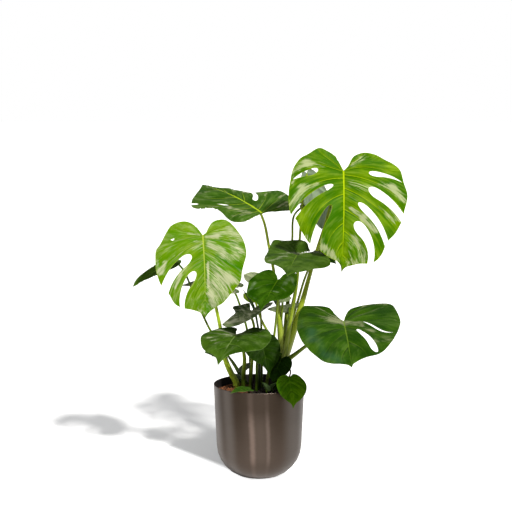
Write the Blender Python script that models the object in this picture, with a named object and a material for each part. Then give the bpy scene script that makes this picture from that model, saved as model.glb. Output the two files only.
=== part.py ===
"""Potted Swiss cheese plant (Monstera) in a round metal pot.

Metres, +Z up, origin at the middle of the pot's base, the plant's front towards -Y.
Every leaf blade, stalk and the soil is a solid of its own, placed at its real position.
A blade is drawn flat, as two half outlines either side of its midrib, and then folded,
cupped and drooped. Slits and holes follow the lines between the side veins.
"""

from math import asin, atan2, cos, hypot, pi, radians, sin

import bmesh
import bpy
import numpy as np
from mathutils import Matrix, Vector
from mathutils.geometry import delaunay_2d_cdt

MM = 0.001

# Pot, in mm: rim radius, height, how far the wall leans in, foot radius, corner radius
RIM_RADIUS = 110.0
POT_HEIGHT = 227.0
WALL_LEAN = 10.2
FOOT_RADIUS = 38.0
CORNER_RADIUS = 81.5
WALL = 1.6
FLOOR = 3.0
POT_SIDES = 40

# Soil: its level below the rim, the mound in the middle, the depth of a stalk's hole
SOIL_DROP = 20.0
SOIL_MOUND = 3.0
HOLE_DEPTH = 24.0
HOLE_SIDES = 8
GAP = 0.3

# Blades and stalks; SEAT is what a blade's flat facets need beside the gap itself
BLADE = 1.0
SMALL_BLADE = 0.8
STALK_SIDES = 8
THIN_SIDES = 6
THIN_STALK = 2.8
STALK_STEP = 0.6
SEAT = 0.15

# Side veins leave the midrib from this share of the margin on, ever further apart,
# and bow towards the leaf's base
VEIN_START = 0.45
VEIN_POWER = 2.15
VEIN_BOW = 0.2

# Half outlines: (across, along) from the notch at the stalk to the tip, as shares of length
FORMS = {
    "heart": [
        (0, -0.005), (0.05, -0.07), (0.15, -0.15), (0.30, -0.15), (0.44, -0.04), (0.51, 0.15),
        (0.48, 0.38), (0.37, 0.61), (0.21, 0.79), (0.09, 0.89), (0.03, 0.945), (0, 1.0),
    ],
    "narrow": [
        (0, -0.005), (0.05, -0.06), (0.13, -0.11), (0.24, -0.10), (0.33, 0.0), (0.37, 0.17),
        (0.35, 0.38), (0.27, 0.60), (0.16, 0.78), (0.07, 0.89), (0.02, 0.95), (0, 1.0),
    ],
    "top_left": [
        (0, -0.005), (0.043, -0.088), (0.09, -0.157), (0.168, -0.202), (0.241, -0.227),
        (0.349, -0.164), (0.434, -0.113), (0.498, -0.018), (0.531, 0.119), (0.55, 0.264),
        (0.522, 0.46), (0.479, 0.493), (0.413, 0.615), (0.324, 0.736), (0.228, 0.794),
        (0.138, 0.855), (0.047, 0.896), (0.012, 0.94), (0, 1.0),
    ],
    "top_right": [
        (0, -0.005), (0.042, -0.05), (0.10, -0.15), (0.169, -0.189), (0.236, -0.199),
        (0.322, -0.183), (0.429, -0.131), (0.518, -0.089), (0.577, -0.031), (0.604, 0.087),
        (0.645, 0.222), (0.61, 0.399), (0.583, 0.491), (0.522, 0.602), (0.437, 0.693),
        (0.374, 0.83), (0.292, 0.899), (0.17, 0.91), (0.087, 0.933), (0.035, 0.956), (0, 1.0),
    ],
    "side_left": [
        (0, -0.005), (0.027, -0.042), (0.075, -0.104), (0.143, -0.155), (0.222, -0.173),
        (0.313, -0.159), (0.384, -0.122), (0.438, -0.047), (0.525, 0.10), (0.57, 0.158),
        (0.586, 0.28), (0.58, 0.421), (0.523, 0.593), (0.44, 0.687), (0.368, 0.812),
        (0.30, 0.855), (0.252, 0.87), (0.191, 0.882), (0.111, 0.906), (0.039, 0.95), (0, 1.0),
    ],
    "side_right": [
        (0, -0.005), (0.037, -0.03), (0.076, -0.096), (0.13, -0.161), (0.203, -0.19),
        (0.284, -0.189), (0.352, -0.14), (0.426, -0.036), (0.483, 0.056), (0.509, 0.149),
        (0.516, 0.251), (0.481, 0.362), (0.457, 0.452), (0.437, 0.56), (0.373, 0.637),
        (0.291, 0.733), (0.211, 0.82), (0.13, 0.868), (0.072, 0.914), (0.03, 0.957), (0, 1.0),
    ],
    "low_left": [
        (0, -0.005), (0.045, -0.08), (0.085, -0.2), (0.13, -0.31), (0.22, -0.36), (0.32, -0.37),
        (0.41, -0.36), (0.465, -0.22), (0.5, 0.06), (0.515, 0.31), (0.487, 0.48), (0.43, 0.66),
        (0.35, 0.82), (0.27, 0.92), (0.19, 0.95), (0.11, 0.94), (0.04, 0.95), (0, 1.0),
    ],
    "low_right": [
        (0, -0.005), (0.035, -0.15), (0.1, -0.29), (0.23, -0.357), (0.32, -0.367),
        (0.42, -0.351), (0.54, -0.31), (0.58, -0.14), (0.595, 0.14), (0.57, 0.26), (0.51, 0.46),
        (0.437, 0.633), (0.356, 0.76), (0.276, 0.82), (0.177, 0.842), (0.08, 0.89),
        (0.02, 0.94), (0, 1.0),
    ],
    "mid_left": [
        (0, -0.005), (-0.04, -0.085), (-0.1, -0.12), (-0.16, -0.145), (-0.15, -0.22),
        (-0.126, -0.3), (-0.09, -0.43), (-0.037, -0.5), (0.058, -0.51), (0.179, -0.487),
        (0.289, -0.471), (0.371, -0.485), (0.42, -0.46), (0.433, -0.35), (0.433, -0.151),
        (0.425, 0.11), (0.427, 0.279), (0.405, 0.43), (0.352, 0.55), (0.284, 0.585), (0.222, 0.62),
        (0.134, 0.705), (0.052, 0.836), (0.015, 0.923), (0, 1.0),
    ],
    "mid_right": [
        (0, -0.005), (0.05, -0.05), (0.16, -0.1), (0.28, -0.16), (0.39, -0.02), (0.485, 0.25),
        (0.53, 0.5), (0.45, 0.68), (0.31, 0.77), (0.165, 0.84), (0.06, 0.88), (0.02, 0.93),
        (0, 1.0),
    ],
    "slim_left": [
        (0, -0.005), (0.06, -0.05), (0.15, -0.06), (0.21, 0.03), (0.2, 0.16), (0.15, 0.3),
        (0.12, 0.45), (0.128, 0.608), (0.117, 0.761), (0.064, 0.91), (0, 1.0),
    ],
    "slim_right": [
        (0, -0.005), (0.05, -0.03), (0.12, 0.03), (0.17, 0.18), (0.175, 0.33), (0.135, 0.473),
        (0.1, 0.561), (0.085, 0.705), (0.04, 0.82), (0.024, 0.93), (0, 1.0),
    ],
    "heart_wide_left": [
        (0, -0.005), (0.065, -0.114), (0.15, -0.191), (0.262, -0.25), (0.364, -0.236),
        (0.467, -0.141), (0.539, 0.026), (0.575, 0.194), (0.536, 0.363), (0.478, 0.571),
        (0.405, 0.672), (0.269, 0.745), (0.162, 0.797), (0.084, 0.863), (0.025, 0.94), (0, 1.0),
    ],
    "heart_wide_right": [
        (0, -0.005), (0.034, -0.047), (0.059, -0.165), (0.115, -0.228), (0.222, -0.259),
        (0.353, -0.227), (0.451, -0.025), (0.527, 0.225), (0.519, 0.426), (0.441, 0.579),
        (0.294, 0.652), (0.137, 0.708), (0.05, 0.80), (0.02, 0.90), (0, 1.0),
    ],
    "far_left": [
        (0, -0.005), (0.03, -0.012), (0.074, -0.03), (0.118, -0.073), (0.181, -0.11),
        (0.26, -0.145), (0.35, -0.12), (0.42, -0.02), (0.47, 0.09), (0.48, 0.18), (0.452, 0.245),
        (0.37, 0.27), (0.281, 0.29), (0.211, 0.332), (0.16, 0.37), (0.143, 0.438),
        (0.13, 0.52), (0.1, 0.585), (0.085, 0.645), (0.056, 0.703), (0.02, 0.824), (0.01, 0.929),
        (0, 1.0),
    ],
    "far_right": [
        (0, -0.005), (0.04, 0.0), (0.11, 0.01), (0.185, 0.018), (0.247, 0.044), (0.297, 0.105),
        (0.31, 0.189), (0.295, 0.292), (0.28, 0.405), (0.298, 0.491), (0.334, 0.563),
        (0.37, 0.64), (0.376, 0.71), (0.314, 0.781), (0.184, 0.862), (0.077, 0.94), (0, 1.0),
    ],
    "grey_left": [
        (0, -0.005), (0.06, 0.02), (0.13, 0.0), (0.222, -0.033), (0.33, -0.065), (0.415, -0.07),
        (0.465, 0.042), (0.49, 0.258), (0.535, 0.42), (0.45, 0.47), (0.3, 0.46), (0.17, 0.48),
        (0.095, 0.633), (0.032, 0.85), (0.01, 0.934), (0, 1.0),
    ],
    "grey_right": [
        (0, -0.005), (-0.04, -0.08), (-0.09, -0.16), (-0.15, -0.283), (-0.17, -0.463),
        (-0.165, -0.653), (-0.13, -0.74), (-0.064, -0.682), (0.092, -0.469), (0.207, -0.239),
        (0.325, -0.006), (0.401, 0.268), (0.415, 0.579), (0.333, 0.787), (0.206, 0.932),
        (0.071, 0.983), (0, 1.0),
    ],
    "edge_left": [
        (0, -0.005), (0.05, -0.06), (0.12, -0.08), (0.202, -0.016), (0.255, 0.19),
        (0.249, 0.477), (0.154, 0.76), (0.071, 0.921), (0, 1.0),
    ],
    "edge_right": [
        (0, -0.005), (-0.01, -0.15), (-0.03, -0.3), (0.02, -0.42), (0.151, -0.505),
        (0.25, -0.45), (0.262, -0.23), (0.218, 0.096), (0.149, 0.465), (0.089, 0.793), (0, 1.0),
    ],
    "hanging_left": [
        (0, -0.005), (0.06, -0.06), (0.14, 0.0), (0.195, 0.144), (0.262, 0.412), (0.274, 0.663),
        (0.21, 0.841), (0.1, 0.94), (0, 1.0),
    ],
    "hanging_right": [
        (0, -0.005), (0.05, -0.04), (0.1, 0.02), (0.158, 0.159), (0.19, 0.366), (0.166, 0.604),
        (0.097, 0.817), (0.04, 0.946), (0, 1.0),
    ],
    "front_left": [
        (0, -0.005), (0.06, -0.05), (0.15, -0.08), (0.296, -0.08), (0.424, -0.059),
        (0.517, 0.021), (0.521, 0.146), (0.42, 0.35), (0.287, 0.485), (0.15, 0.6), (0.06, 0.749),
        (0.02, 0.89), (0, 1.0),
    ],
    "front_right": [
        (0, -0.005), (0.03, -0.09), (0.07, -0.18), (0.16, -0.224), (0.351, -0.2),
        (0.467, 0.008), (0.484, 0.211), (0.406, 0.461), (0.269, 0.625), (0.114, 0.76),
        (0.043, 0.86), (0, 1.0),
    ],
    "rim_left": [
        (0, -0.005), (0.055, -0.082), (0.19, -0.095), (0.34, -0.018), (0.429, 0.133),
        (0.423, 0.348), (0.321, 0.572), (0.177, 0.721), (0.05, 0.839), (0.01, 0.936), (0, 1.0),
    ],
    "rim_right": [
        (0, -0.005), (0.058, -0.035), (0.14, -0.1), (0.273, -0.071), (0.416, 0.063),
        (0.52, 0.234), (0.537, 0.396), (0.453, 0.576), (0.259, 0.743), (0.13, 0.82),
        (0.055, 0.904), (0, 1.0),
    ],
    "shield_left": [
        (0, -0.005), (0.03, -0.1), (0.05, -0.214), (0.11, -0.24), (0.214, -0.209),
        (0.305, -0.189), (0.393, -0.116), (0.472, -0.011), (0.518, 0.146), (0.469, 0.374),
        (0.379, 0.568), (0.274, 0.686), (0.177, 0.739), (0.087, 0.819), (0.035, 0.91), (0, 1.0),
    ],
    "shield_right": [
        (0, -0.005), (0.05, -0.06), (0.09, -0.13), (0.131, -0.211), (0.195, -0.279),
        (0.316, -0.287), (0.431, -0.264), (0.522, -0.153), (0.571, -0.007), (0.585, 0.195),
        (0.556, 0.336), (0.501, 0.475), (0.359, 0.579), (0.246, 0.64), (0.111, 0.725),
        (0.045, 0.82), (0.015, 0.91), (0, 1.0),
    ],
}

# Cuts: (place on the margin of the inner end, of the middle, of the outer end, depth of the
# inner end, of the outer end, width inside, width at the mouth). Depth 0 is the midrib and 1
# the margin, so a cut that ends short of 1 is a closed hole. Widths are shares of length.
CUTS = {
    "top_left": [
        (0.44, 0.43, 0.425, 0.46, 0.94, 0.08, 0.03),
        (0.642, 0.623, 0.612, 0.19, 1.0, 0.06, 0.054),
        (0.752, 0.778, 0.802, 0.26, 1.0, 0.095, 0.11),
    ],
    "top_right": [
        (0.472, 0.43, 0.411, 0.35, 0.96, 0.06, 0.02),
        (0.618, 0.595, 0.58, 0.35, 1.0, 0.10, 0.09),
        (0.736, 0.73, 0.729, 0.24, 1.0, 0.08, 0.064),
        (0.832, 0.824, 0.853, 0.22, 1.0, 0.12, 0.062),
    ],
    "side_left": [
        (0.42, 0.41, 0.40, 0.58, 0.68, 0.03, 0.01),
        (0.689, 0.672, 0.675, 0.25, 1.0, 0.12, 0.12),
        (0.80, 0.805, 0.835, 0.22, 1.0, 0.12, 0.055),
    ],
    "low_right": [
        (0.59, 0.683, 0.648, 0.31, 0.96, 0.045, 0.02),
        (0.72, 0.811, 0.843, 0.19, 0.93, 0.13, 0.08),
    ],
    "back_right": [
        (0.714, 0.722, 0.729, 0.27, 0.5, 0.02, 0.012),
        (0.712, 0.706, 0.70, 0.86, 1.0, 0.02, 0.03),
    ],
    "back_left": [
        (0.666, 0.63, 0.618, 0.33, 1.0, 0.065, 0.04),
        (0.812, 0.79, 0.775, 0.66, 1.0, 0.02, 0.03),
    ],
}

# The leaves. "at" is the junction with the stalk in mm, heading and pitch give the tip's
# direction there, roll turns the blade about its midrib, and length runs to the tip in mm.
# Angles are in degrees; fold is the rise of each half beside the midrib, cup how far a half
# curls down to its margin, droop and back the bend of the midrib towards tip and notch.
LEAVES = {
    "leaf_top_right": dict(
        at=(196, -70, 745), heading=-89, pitch=-66, roll=6, length=237, droop=30, back=15,
        cup=22, fold=10, left="top_left", right="top_right", cuts=("top_left", "top_right"),
        seat=0.32,
    ),
    "leaf_left": dict(
        at=(-132, -60, 594), heading=-79, pitch=-66, roll=-1, length=196, droop=34, back=25,
        cup=25, fold=10, left="side_left", right="side_right", cuts=("side_left", None),
        seat=0.32,
    ),
    "leaf_right": dict(
        at=(199, -72, 392), heading=-89, pitch=-11, roll=-2, length=219, droop=14, back=-25,
        cup=4, fold=6, left="low_left", right="low_right", cuts=(None, "low_right"),
    ),
    "leaf_top_left": dict(
        at=(8, 30, 639), heading=136, pitch=24, roll=22, length=236, droop=22, back=1,
        cup=22, fold=2, left="far_left", right="far_right", cuts=("back_left", "back_right"),
    ),
    "leaf_top_back": dict(
        at=(106, 112, 656), heading=27, pitch=23, roll=-10, length=109, droop=30, back=10,
        cup=20, fold=8, seat=0.3,
    ),
    "leaf_top_hanging": dict(
        at=(115, 55, 734), heading=24, pitch=-72, roll=56, length=142, droop=14, back=5,
        cup=15, fold=6, left="hanging_left", right="hanging_right",
    ),
    "leaf_centre": dict(
        at=(89, -76, 551), heading=-100, pitch=-6, roll=1, length=163, droop=10, back=-45,
        cup=6, fold=5, left="mid_left", right="mid_right",
    ),
    "leaf_centre_low": dict(
        at=(43, -110, 496), heading=-117, pitch=-30, roll=3, length=109, droop=8, back=-10,
        cup=6, fold=8, left="heart_wide_left", right="heart_wide_right",
    ),
    "leaf_front_left": dict(
        at=(-54, -70, 360), heading=-106, pitch=-10, roll=2, length=150, droop=16, back=-25,
        cup=18, fold=8, left="shield_left", right="shield_right",
    ),
    "leaf_front_middle": dict(
        at=(7, -40, 332), heading=-63, pitch=-58, roll=-19, length=84, droop=25, back=10,
        cup=12, fold=8, left="front_left", right="front_right",
    ),
    "leaf_over_rim": dict(
        at=(70, -95, 262), heading=-70, pitch=-62, roll=-7, length=74, droop=20, back=20,
        cup=20, fold=6, left="rim_left", right="rim_right",
    ),
    "leaf_grey": dict(
        at=(-18, -50, 414), heading=-165, pitch=-13, roll=25, length=78, droop=25, back=5,
        cup=22, fold=6, left="grey_left", right="grey_right",
    ),
    "leaf_back_flat": dict(
        at=(79, 34, 407), heading=179, pitch=-2, roll=-55, length=60, droop=3, back=2,
        cup=3, fold=1, left="edge_left", right="edge_right",
    ),
    "leaf_back_pale": dict(
        at=(59, -25, 445), heading=-120, pitch=-8, roll=10, length=44, droop=25, back=10,
        cup=20, fold=8,
    ),
    "leaf_yellow": dict(
        at=(-6, 5, 433), heading=-148, pitch=31, roll=-35, length=45, droop=20, back=10,
        cup=20, fold=8,
    ),
    "leaf_pale": dict(
        at=(-5, 38, 476), heading=-162, pitch=29, roll=-50, length=41, droop=25, back=10,
        cup=20, fold=8,
    ),
    "leaf_back_left": dict(
        at=(-64, 74, 451), heading=172, pitch=13, roll=6, length=131, droop=25, back=10,
        cup=12, fold=6, seat=0.25,
    ),
    "leaf_far_left": dict(
        at=(-196, 45, 523), heading=-149, pitch=-15, roll=24, length=133, droop=25, back=5,
        cup=20, fold=6, left="slim_left", right="slim_right",
    ),
    "leaf_small_left": dict(
        at=(-108, 44, 291), heading=-126, pitch=21, roll=30, length=38, droop=20, back=10,
        cup=15, fold=8, seat=0.85,
    ),
    "leaf_dark": dict(
        at=(53, -40, 296), heading=-132, pitch=-55, roll=30, length=61, droop=20, back=10,
        cup=15, fold=8, seat=0.3,
    ),
    "leaf_rim_front": dict(
        at=(-22, -80, 231), heading=-155, pitch=12, roll=6, length=51, droop=38, back=5,
        cup=12, fold=6, left="narrow", right="narrow",
    ),
    "leaf_small_blue": dict(
        at=(-45, 74, 219), heading=-155, pitch=54, roll=-30, length=25, droop=15, back=10,
        cup=15, fold=8,
    ),
    "leaf_small_teal": dict(
        at=(-45, 42, 247), heading=-4, pitch=49, roll=40, length=41, droop=25, back=10,
        cup=15, fold=8, left="narrow", right="narrow",
    ),
    "leaf_new_left": dict(
        at=(20, -56, 222), heading=-147, pitch=61, roll=-20, length=28, droop=15, back=10,
        cup=5, fold=25, left="narrow", right="narrow",
    ),
    "leaf_new_right": dict(
        at=(28, -44, 221), heading=-23, pitch=56, roll=20, length=28, droop=15, back=10,
        cup=5, fold=25, left="narrow", right="narrow",
    ),
    "leaf_small_right": dict(
        at=(142, 24, 549), heading=-20, pitch=-25, roll=-30, length=57, droop=25, back=10,
        cup=15, fold=8, left="narrow", right="narrow",
    ),
}

# Stalks that stand in the soil by themselves: the leaf each ends at, if any, and its path
# as (x, y, z, radius) in mm from the soil up. The last part under the blade is added.
STALKS = {
    "stalk_left": ("leaf_left", [
        (-56, 46, 218, 8), (-69, 42, 244, 7.5), (-82, 32, 279, 6.5), (-90, 20, 330, 5),
        (-95, 10, 369, 4.6), (-102, -4, 408, 4.2), (-115, -24, 471, 3.8), (-126, -42, 538, 3.3),
    ]),
    "stalk_far_left": ("leaf_far_left", [
        (-39, 84, 212, 3.6), (-62, 80, 256, 3.3), (-92, 74, 302, 3.1), (-119, 67, 344, 2.9),
        (-137, 60, 383, 2.8), (-165, 50, 453, 2.6), (-183, 46, 496, 2.5),
    ]),
    "stalk_back_left": ("leaf_back_left", [
        (-22, 78, 213, 3.8), (-22, 76, 269, 3.4), (-27, 74, 332, 3.1), (-38, 73, 380, 2.9),
        (-48, 73, 410, 2.8), (-59, 74, 437, 2.6),
    ]),
    "stalk_front_left": ("leaf_front_left", [
        (-39, 14, 217, 6.2), (-37, -4, 256, 5.5), (-35, -24, 294, 4.6), (-41, -42, 327, 3.6),
    ]),
    "stalk_front_middle": ("leaf_front_middle", [
        (-7, -14, 215, 4.2), (-5, -16, 239, 3.7), (-5, -18, 279, 3.3), (-1, -24, 306, 2.8),
    ]),
    "stalk_grey": ("leaf_grey", [
        (-21, 4, 220, 4.4), (-18, -4, 266, 4), (-15, -14, 324, 3.6), (-12, -22, 370, 3.3),
    ]),
    "stalk_centre_low": ("leaf_centre_low", [
        (17, 2, 215, 4.6), (23, -2, 255, 4), (31, -10, 311, 3.5), (38, -28, 363, 3.2),
        (42, -52, 411, 3), (45, -80, 453, 2.7),
    ]),
    "stalk_pale": ("leaf_pale", [
        (7, 34, 216, 3.4), (6, 34, 315, 3), (5, 35, 374, 2.8), (1, 38, 425, 2.6), (-1, 38, 453, 2.5),
    ]),
    "stalk_small_left": ("leaf_small_left", [
        (-30, 56, 217, 2.6), (-47, 60, 242, 2.4), (-67, 60, 272, 2.2), (-86, 54, 290, 2),
    ]),
    "stalk_rim_front": ("leaf_rim_front", [
        (-20, -64, 212, 2.2),
    ]),
    "stalk_small_blue": ("leaf_small_blue", [
        (-46, 78, 210, 1.8),
    ]),
    "stalk_small_teal": ("leaf_small_teal", [
        (-41, 38, 214, 2.0),
    ]),
    "stalk_new_left": ("leaf_new_left", [
        (22, -58, 210, 1.8),
    ]),
    "stalk_new_right": ("leaf_new_right", [
        (31, -40, 210, 1.8),
    ]),
    "leaf_rolled": (None, [
        (0, 4, 215, 3.4), (1, 0, 285, 3.2), (0, -4, 347, 2.8), (-5, -12, 382, 2.7),
        (-10, -30, 410, 3.2), (-17, -44, 430, 3.8), (-26, -54, 447, 2.6), (-38, -66, 466, 0.6),
    ]),
}

# The crown on the right: its root stock stands in the soil and each stalk grows out of it
CROWN_STOCK = [(44, 24, 214, 11), (49, 17, 246, 11.5), (54, 13, 277, 12), (61, 10, 300, 11.5)]
CROWN_STALKS = [
    ("leaf_top_left", [
        (61, 14, 287, 11), (54, 6, 333, 9), (45, 0, 427, 5.5), (40, 3, 468, 4.3),
        (33, 10, 515, 3.8), (24, 16, 559, 3.5), (14, 24, 611, 3.3),
    ]),
    ("leaf_top_back", [
        (60, 24, 287, 8.5), (66, 46, 357, 6.5), (70, 58, 410, 5.5), (74, 66, 458, 4.2),
        (78, 74, 514, 3.3), (82, 82, 570, 2.9), (86, 94, 626, 2.7),
    ]),
    ("leaf_top_hanging", [
        (61, 16, 290, 8.5), (70, 36, 349, 6.5), (80, 48, 399, 5.2), (87, 48, 436, 4.3),
        (94, 46, 491, 3.5), (99, 46, 574, 3.2), (103, 42, 633, 3), (108, 36, 694, 2.8),
    ]),
    ("leaf_centre", [
        (61, 4, 287, 8), (70, -4, 347, 6), (79, -16, 405, 4.8), (88, -34, 461, 3.6),
        (92, -54, 507, 3),
    ]),
    ("leaf_top_right", [
        (53, 13, 262, 11.5), (66, 9, 303, 11.5), (80, 10, 345, 10), (103, 12, 419, 7.2),
        (124, 2, 499, 5), (140, -14, 559, 4.3), (156, -26, 613, 4), (168, -36, 659, 3.8),
        (183, -44, 704, 3.6),
    ]),
    ("leaf_small_right", [
        (62, 6, 287, 6), (71, 24, 352, 4.6), (93, 46, 415, 3.4), (117, 36, 494, 2.8),
    ]),
    ("leaf_right", [
        (52, 10, 262, 7.5), (64, 0, 281, 7), (87, -12, 301, 5.4), (114, -26, 325, 4.3),
        (140, -40, 345, 3.8), (168, -54, 364, 3.5),
    ]),
    ("leaf_back_flat", [(63, 18, 290, 5), (71, 30, 362, 3.2)]),
    ("leaf_back_pale", [(58, 8, 300, 5), (54, 2, 382, 3)]),
    ("leaf_yellow", [(56, 12, 290, 7), (36, 14, 326, 4.5), (20, 10, 354, 3.4), (3, 8, 388, 2.8)]),
    ("leaf_dark", [(60, 4, 285, 5), (59, -16, 291, 3.5)]),
]
AERIAL_ROOT = [(60, -5.1, 274, 2.0), (66, -22, 272, 1.9), (72, -38, 270, 1.8), (75, -56, 268, 1.7)]

COLOURS = {
    "pot": (0.10, 0.078, 0.064, 1),
    "soil": (0.11, 0.045, 0.025, 1),
    "bright": (0.10, 0.27, 0.012, 1),
    "dark": (0.035, 0.105, 0.018, 1),
    "pale": (0.22, 0.33, 0.10, 1),
    "stalk": (0.19, 0.27, 0.03, 1),
    "root": (0.09, 0.04, 0.02, 1),
}
BRIGHT = ("leaf_top_right", "leaf_left", "leaf_yellow", "leaf_rim_front")
PALE = ("leaf_pale", "leaf_back_pale", "leaf_top_hanging", "leaf_small_teal")


def smooth_line(points, per):
    """A curve through all the points (centripetal Catmull-Rom), per pieces a span."""
    p = np.array(points, float)
    p = np.vstack([2 * p[0] - p[1], p, 2 * p[-1] - p[-2]])
    knots = np.concatenate([[0], np.cumsum(np.linalg.norm(np.diff(p, axis=0), axis=1) ** 0.5)])
    out = []
    for i in range(1, len(p) - 2):
        k = knots[i - 1:i + 3]
        q = p[i - 1:i + 3]
        for u in np.linspace(k[1], k[2], per, endpoint=False):
            a = [(k[j + 1] - u) / (k[j + 1] - k[j]) * q[j]
                 + (u - k[j]) / (k[j + 1] - k[j]) * q[j + 1] for j in range(3)]
            b = [(k[j + 2] - u) / (k[j + 2] - k[j]) * a[j]
                 + (u - k[j]) / (k[j + 2] - k[j]) * a[j + 1] for j in range(2)]
            out.append((k[2] - u) / (k[2] - k[1]) * b[0] + (u - k[1]) / (k[2] - k[1]) * b[1])
    out.append(p[-2])
    return np.array(out)


class Half:
    """One side of a flat blade. t runs round its margin, s from midrib to margin."""

    PER = 12

    def __init__(self, form, length, side):
        self.line = smooth_line(FORMS[form], self.PER) * length
        steps = np.linalg.norm(np.diff(self.line, axis=0), axis=1)
        self.t = np.concatenate([[0], np.cumsum(steps)]) / steps.sum()
        self.length = length
        self.side = side

    def at(self, t, s):
        t, s = np.broadcast_arrays(np.asarray(t, float), np.asarray(s, float))
        rise = np.clip((t - VEIN_START) / (1 - VEIN_START), 0, None) ** VEIN_POWER
        root = np.stack([0 * rise, rise * self.length], -1)
        edge = np.stack([np.interp(t, self.t, self.line[:, i]) for i in range(2)], -1)
        span = edge - root
        bow = root + span / 2 + np.stack([span[..., 1], -span[..., 0]], -1) * VEIN_BOW
        s = s[..., None]
        flat = (1 - s) ** 2 * root + 2 * s * (1 - s) * bow + s**2 * edge
        return flat * [self.side, 1]

    def cut(self, cut, count):
        """The edge of a slit or hole as (t, s) points, from its basal side round to the other."""
        t_in, t_mid, t_out, s_in, s_out, inside, mouth = cut
        if s_out < 1:
            x = (1 - np.cos(np.linspace(0, pi, count))) / 2
        else:
            x = 1 - np.cos(np.linspace(0, pi / 2, count))
        s = s_in + (s_out - s_in) * x
        t = t_in * (1 - x) + t_out * x + (4 * t_mid - 2 * t_in - 2 * t_out) * x * (1 - x)
        ramp = np.clip((x - 0.25) / 0.75, 0, 1)
        width = (inside + (mouth - inside) * ramp) * self.length
        width = width * np.sqrt(np.clip(1 - (1 - np.clip(x / 0.22, 0, 1)) ** 2, 0, 1))
        if s_out < 1:
            width = width * np.sqrt(np.clip(1 - np.clip((x - 0.5) / 0.5, 0, 1) ** 2, 0, 1))
        step = 1e-3
        speed = np.linalg.norm(self.at(t + step, s) - self.at(t - step, s), axis=-1) / (2 * step)
        half = width / 2 / np.maximum(speed, 1e-6)
        low = [(t[i] - half[i], s[i]) for i in range(count)]
        high = [(t[i] + half[i], s[i]) for i in range(count)]
        if s_out < 1:
            return low[::-1] + high[1:-1]
        return low[::-1] + high[1:]


def blade_axes(leaf):
    """Unit vectors across, along and out of the upper face at the junction."""
    head, pitch, roll = (radians(leaf[k]) for k in ("heading", "pitch", "roll"))
    along = np.array([cos(pitch) * cos(head), cos(pitch) * sin(head), sin(pitch)])
    up = np.array([-sin(pitch) * cos(head), -sin(pitch) * sin(head), cos(pitch)])
    across = np.cross(up, along)
    out = up * cos(roll) + across * sin(roll)
    return np.cross(out, along), along, out


def bend(leaf, flat, t, s):
    """Points of the flat blade, in mm, moved to where the folded and drooping blade is."""
    across, along, out = blade_axes(leaf)
    length = leaf["length"]
    a, b = flat[..., 0], flat[..., 1]
    u = np.abs(a)
    curl = radians(leaf["cup"]) / (0.55 * length) + 1e-9
    lift = radians(leaf["fold"]) * (1 - np.exp(-((u / (0.06 * length)) ** 2)))
    x = np.sign(a) * (np.sin(lift) - np.sin(lift - curl * u)) / curl
    w = (np.cos(lift - curl * u) - np.cos(lift)) / curl
    wave = leaf.get("wave", 0.012) * length * np.clip(s, 0, 1) ** 3 * np.sin(pi * t)
    w = w + wave * np.sin(2 * pi * (leaf.get("waves", 2.5) * t + leaf.get("phase", 0.1)
                                    + 0.18 * np.sign(a)))
    turn = np.where(b > 0, radians(leaf["droop"]), radians(leaf["back"])) / length + 1e-9
    angle = turn * b
    y = np.sin(angle) / turn + w * np.sin(angle)
    z = -(1 - np.cos(angle)) / turn + w * np.cos(angle)
    return x[..., None] * across + y[..., None] * along + z[..., None] * out + leaf["at"]


def crossings(points, loops):
    """For each point, whether it is inside the loops, counting a hole as outside."""
    inside = np.zeros(len(points), bool)
    for loop in loops:
        p, q = loop, np.roll(loop, -1, axis=0)
        for (x0, y0), (x1, y1) in zip(p, q):
            if y0 == y1:
                continue
            hit = (points[:, 1] > min(y0, y1)) & (points[:, 1] <= max(y0, y1))
            at = x0 + (points[:, 1] - y0) / (y1 - y0) * (x1 - x0)
            inside ^= hit & (points[:, 0] < at)
    return inside


def distance_to(points, loops):
    best = np.full(len(points), 1e9)
    for loop in loops:
        for p, q in zip(loop, np.roll(loop, -1, axis=0)):
            d = q - p
            share = np.clip(((points - p) @ d) / max(d @ d, 1e-12), 0, 1)
            best = np.minimum(best, np.linalg.norm(p + share[:, None] * d - points, axis=1))
    return best


def half_border(half, cuts, margin_steps, cut_steps):
    """(t, s) round the margin with its open slits, and a loop for each closed hole."""
    stops = half.t[::Half.PER]
    places = []
    for low, high in zip(stops[:-1], stops[1:]):
        places += list(np.linspace(low, high, margin_steps, endpoint=False))
    places.append(1.0)
    path, holes, last = [], [], -1.0
    for cut in sorted(cuts, key=lambda c: c[2]):
        edge = half.cut(cut, cut_steps)
        if cut[4] < 1:
            holes.append(edge)
            continue
        near = 0.012
        path += [(t, 1.0) for t in places if last + near < t < edge[0][0] - near]
        path += edge
        last = edge[-1][0]
    path += [(t, 1.0) for t in places if t > last + (0.012 if last > 0 else 0)]
    return path, holes


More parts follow.
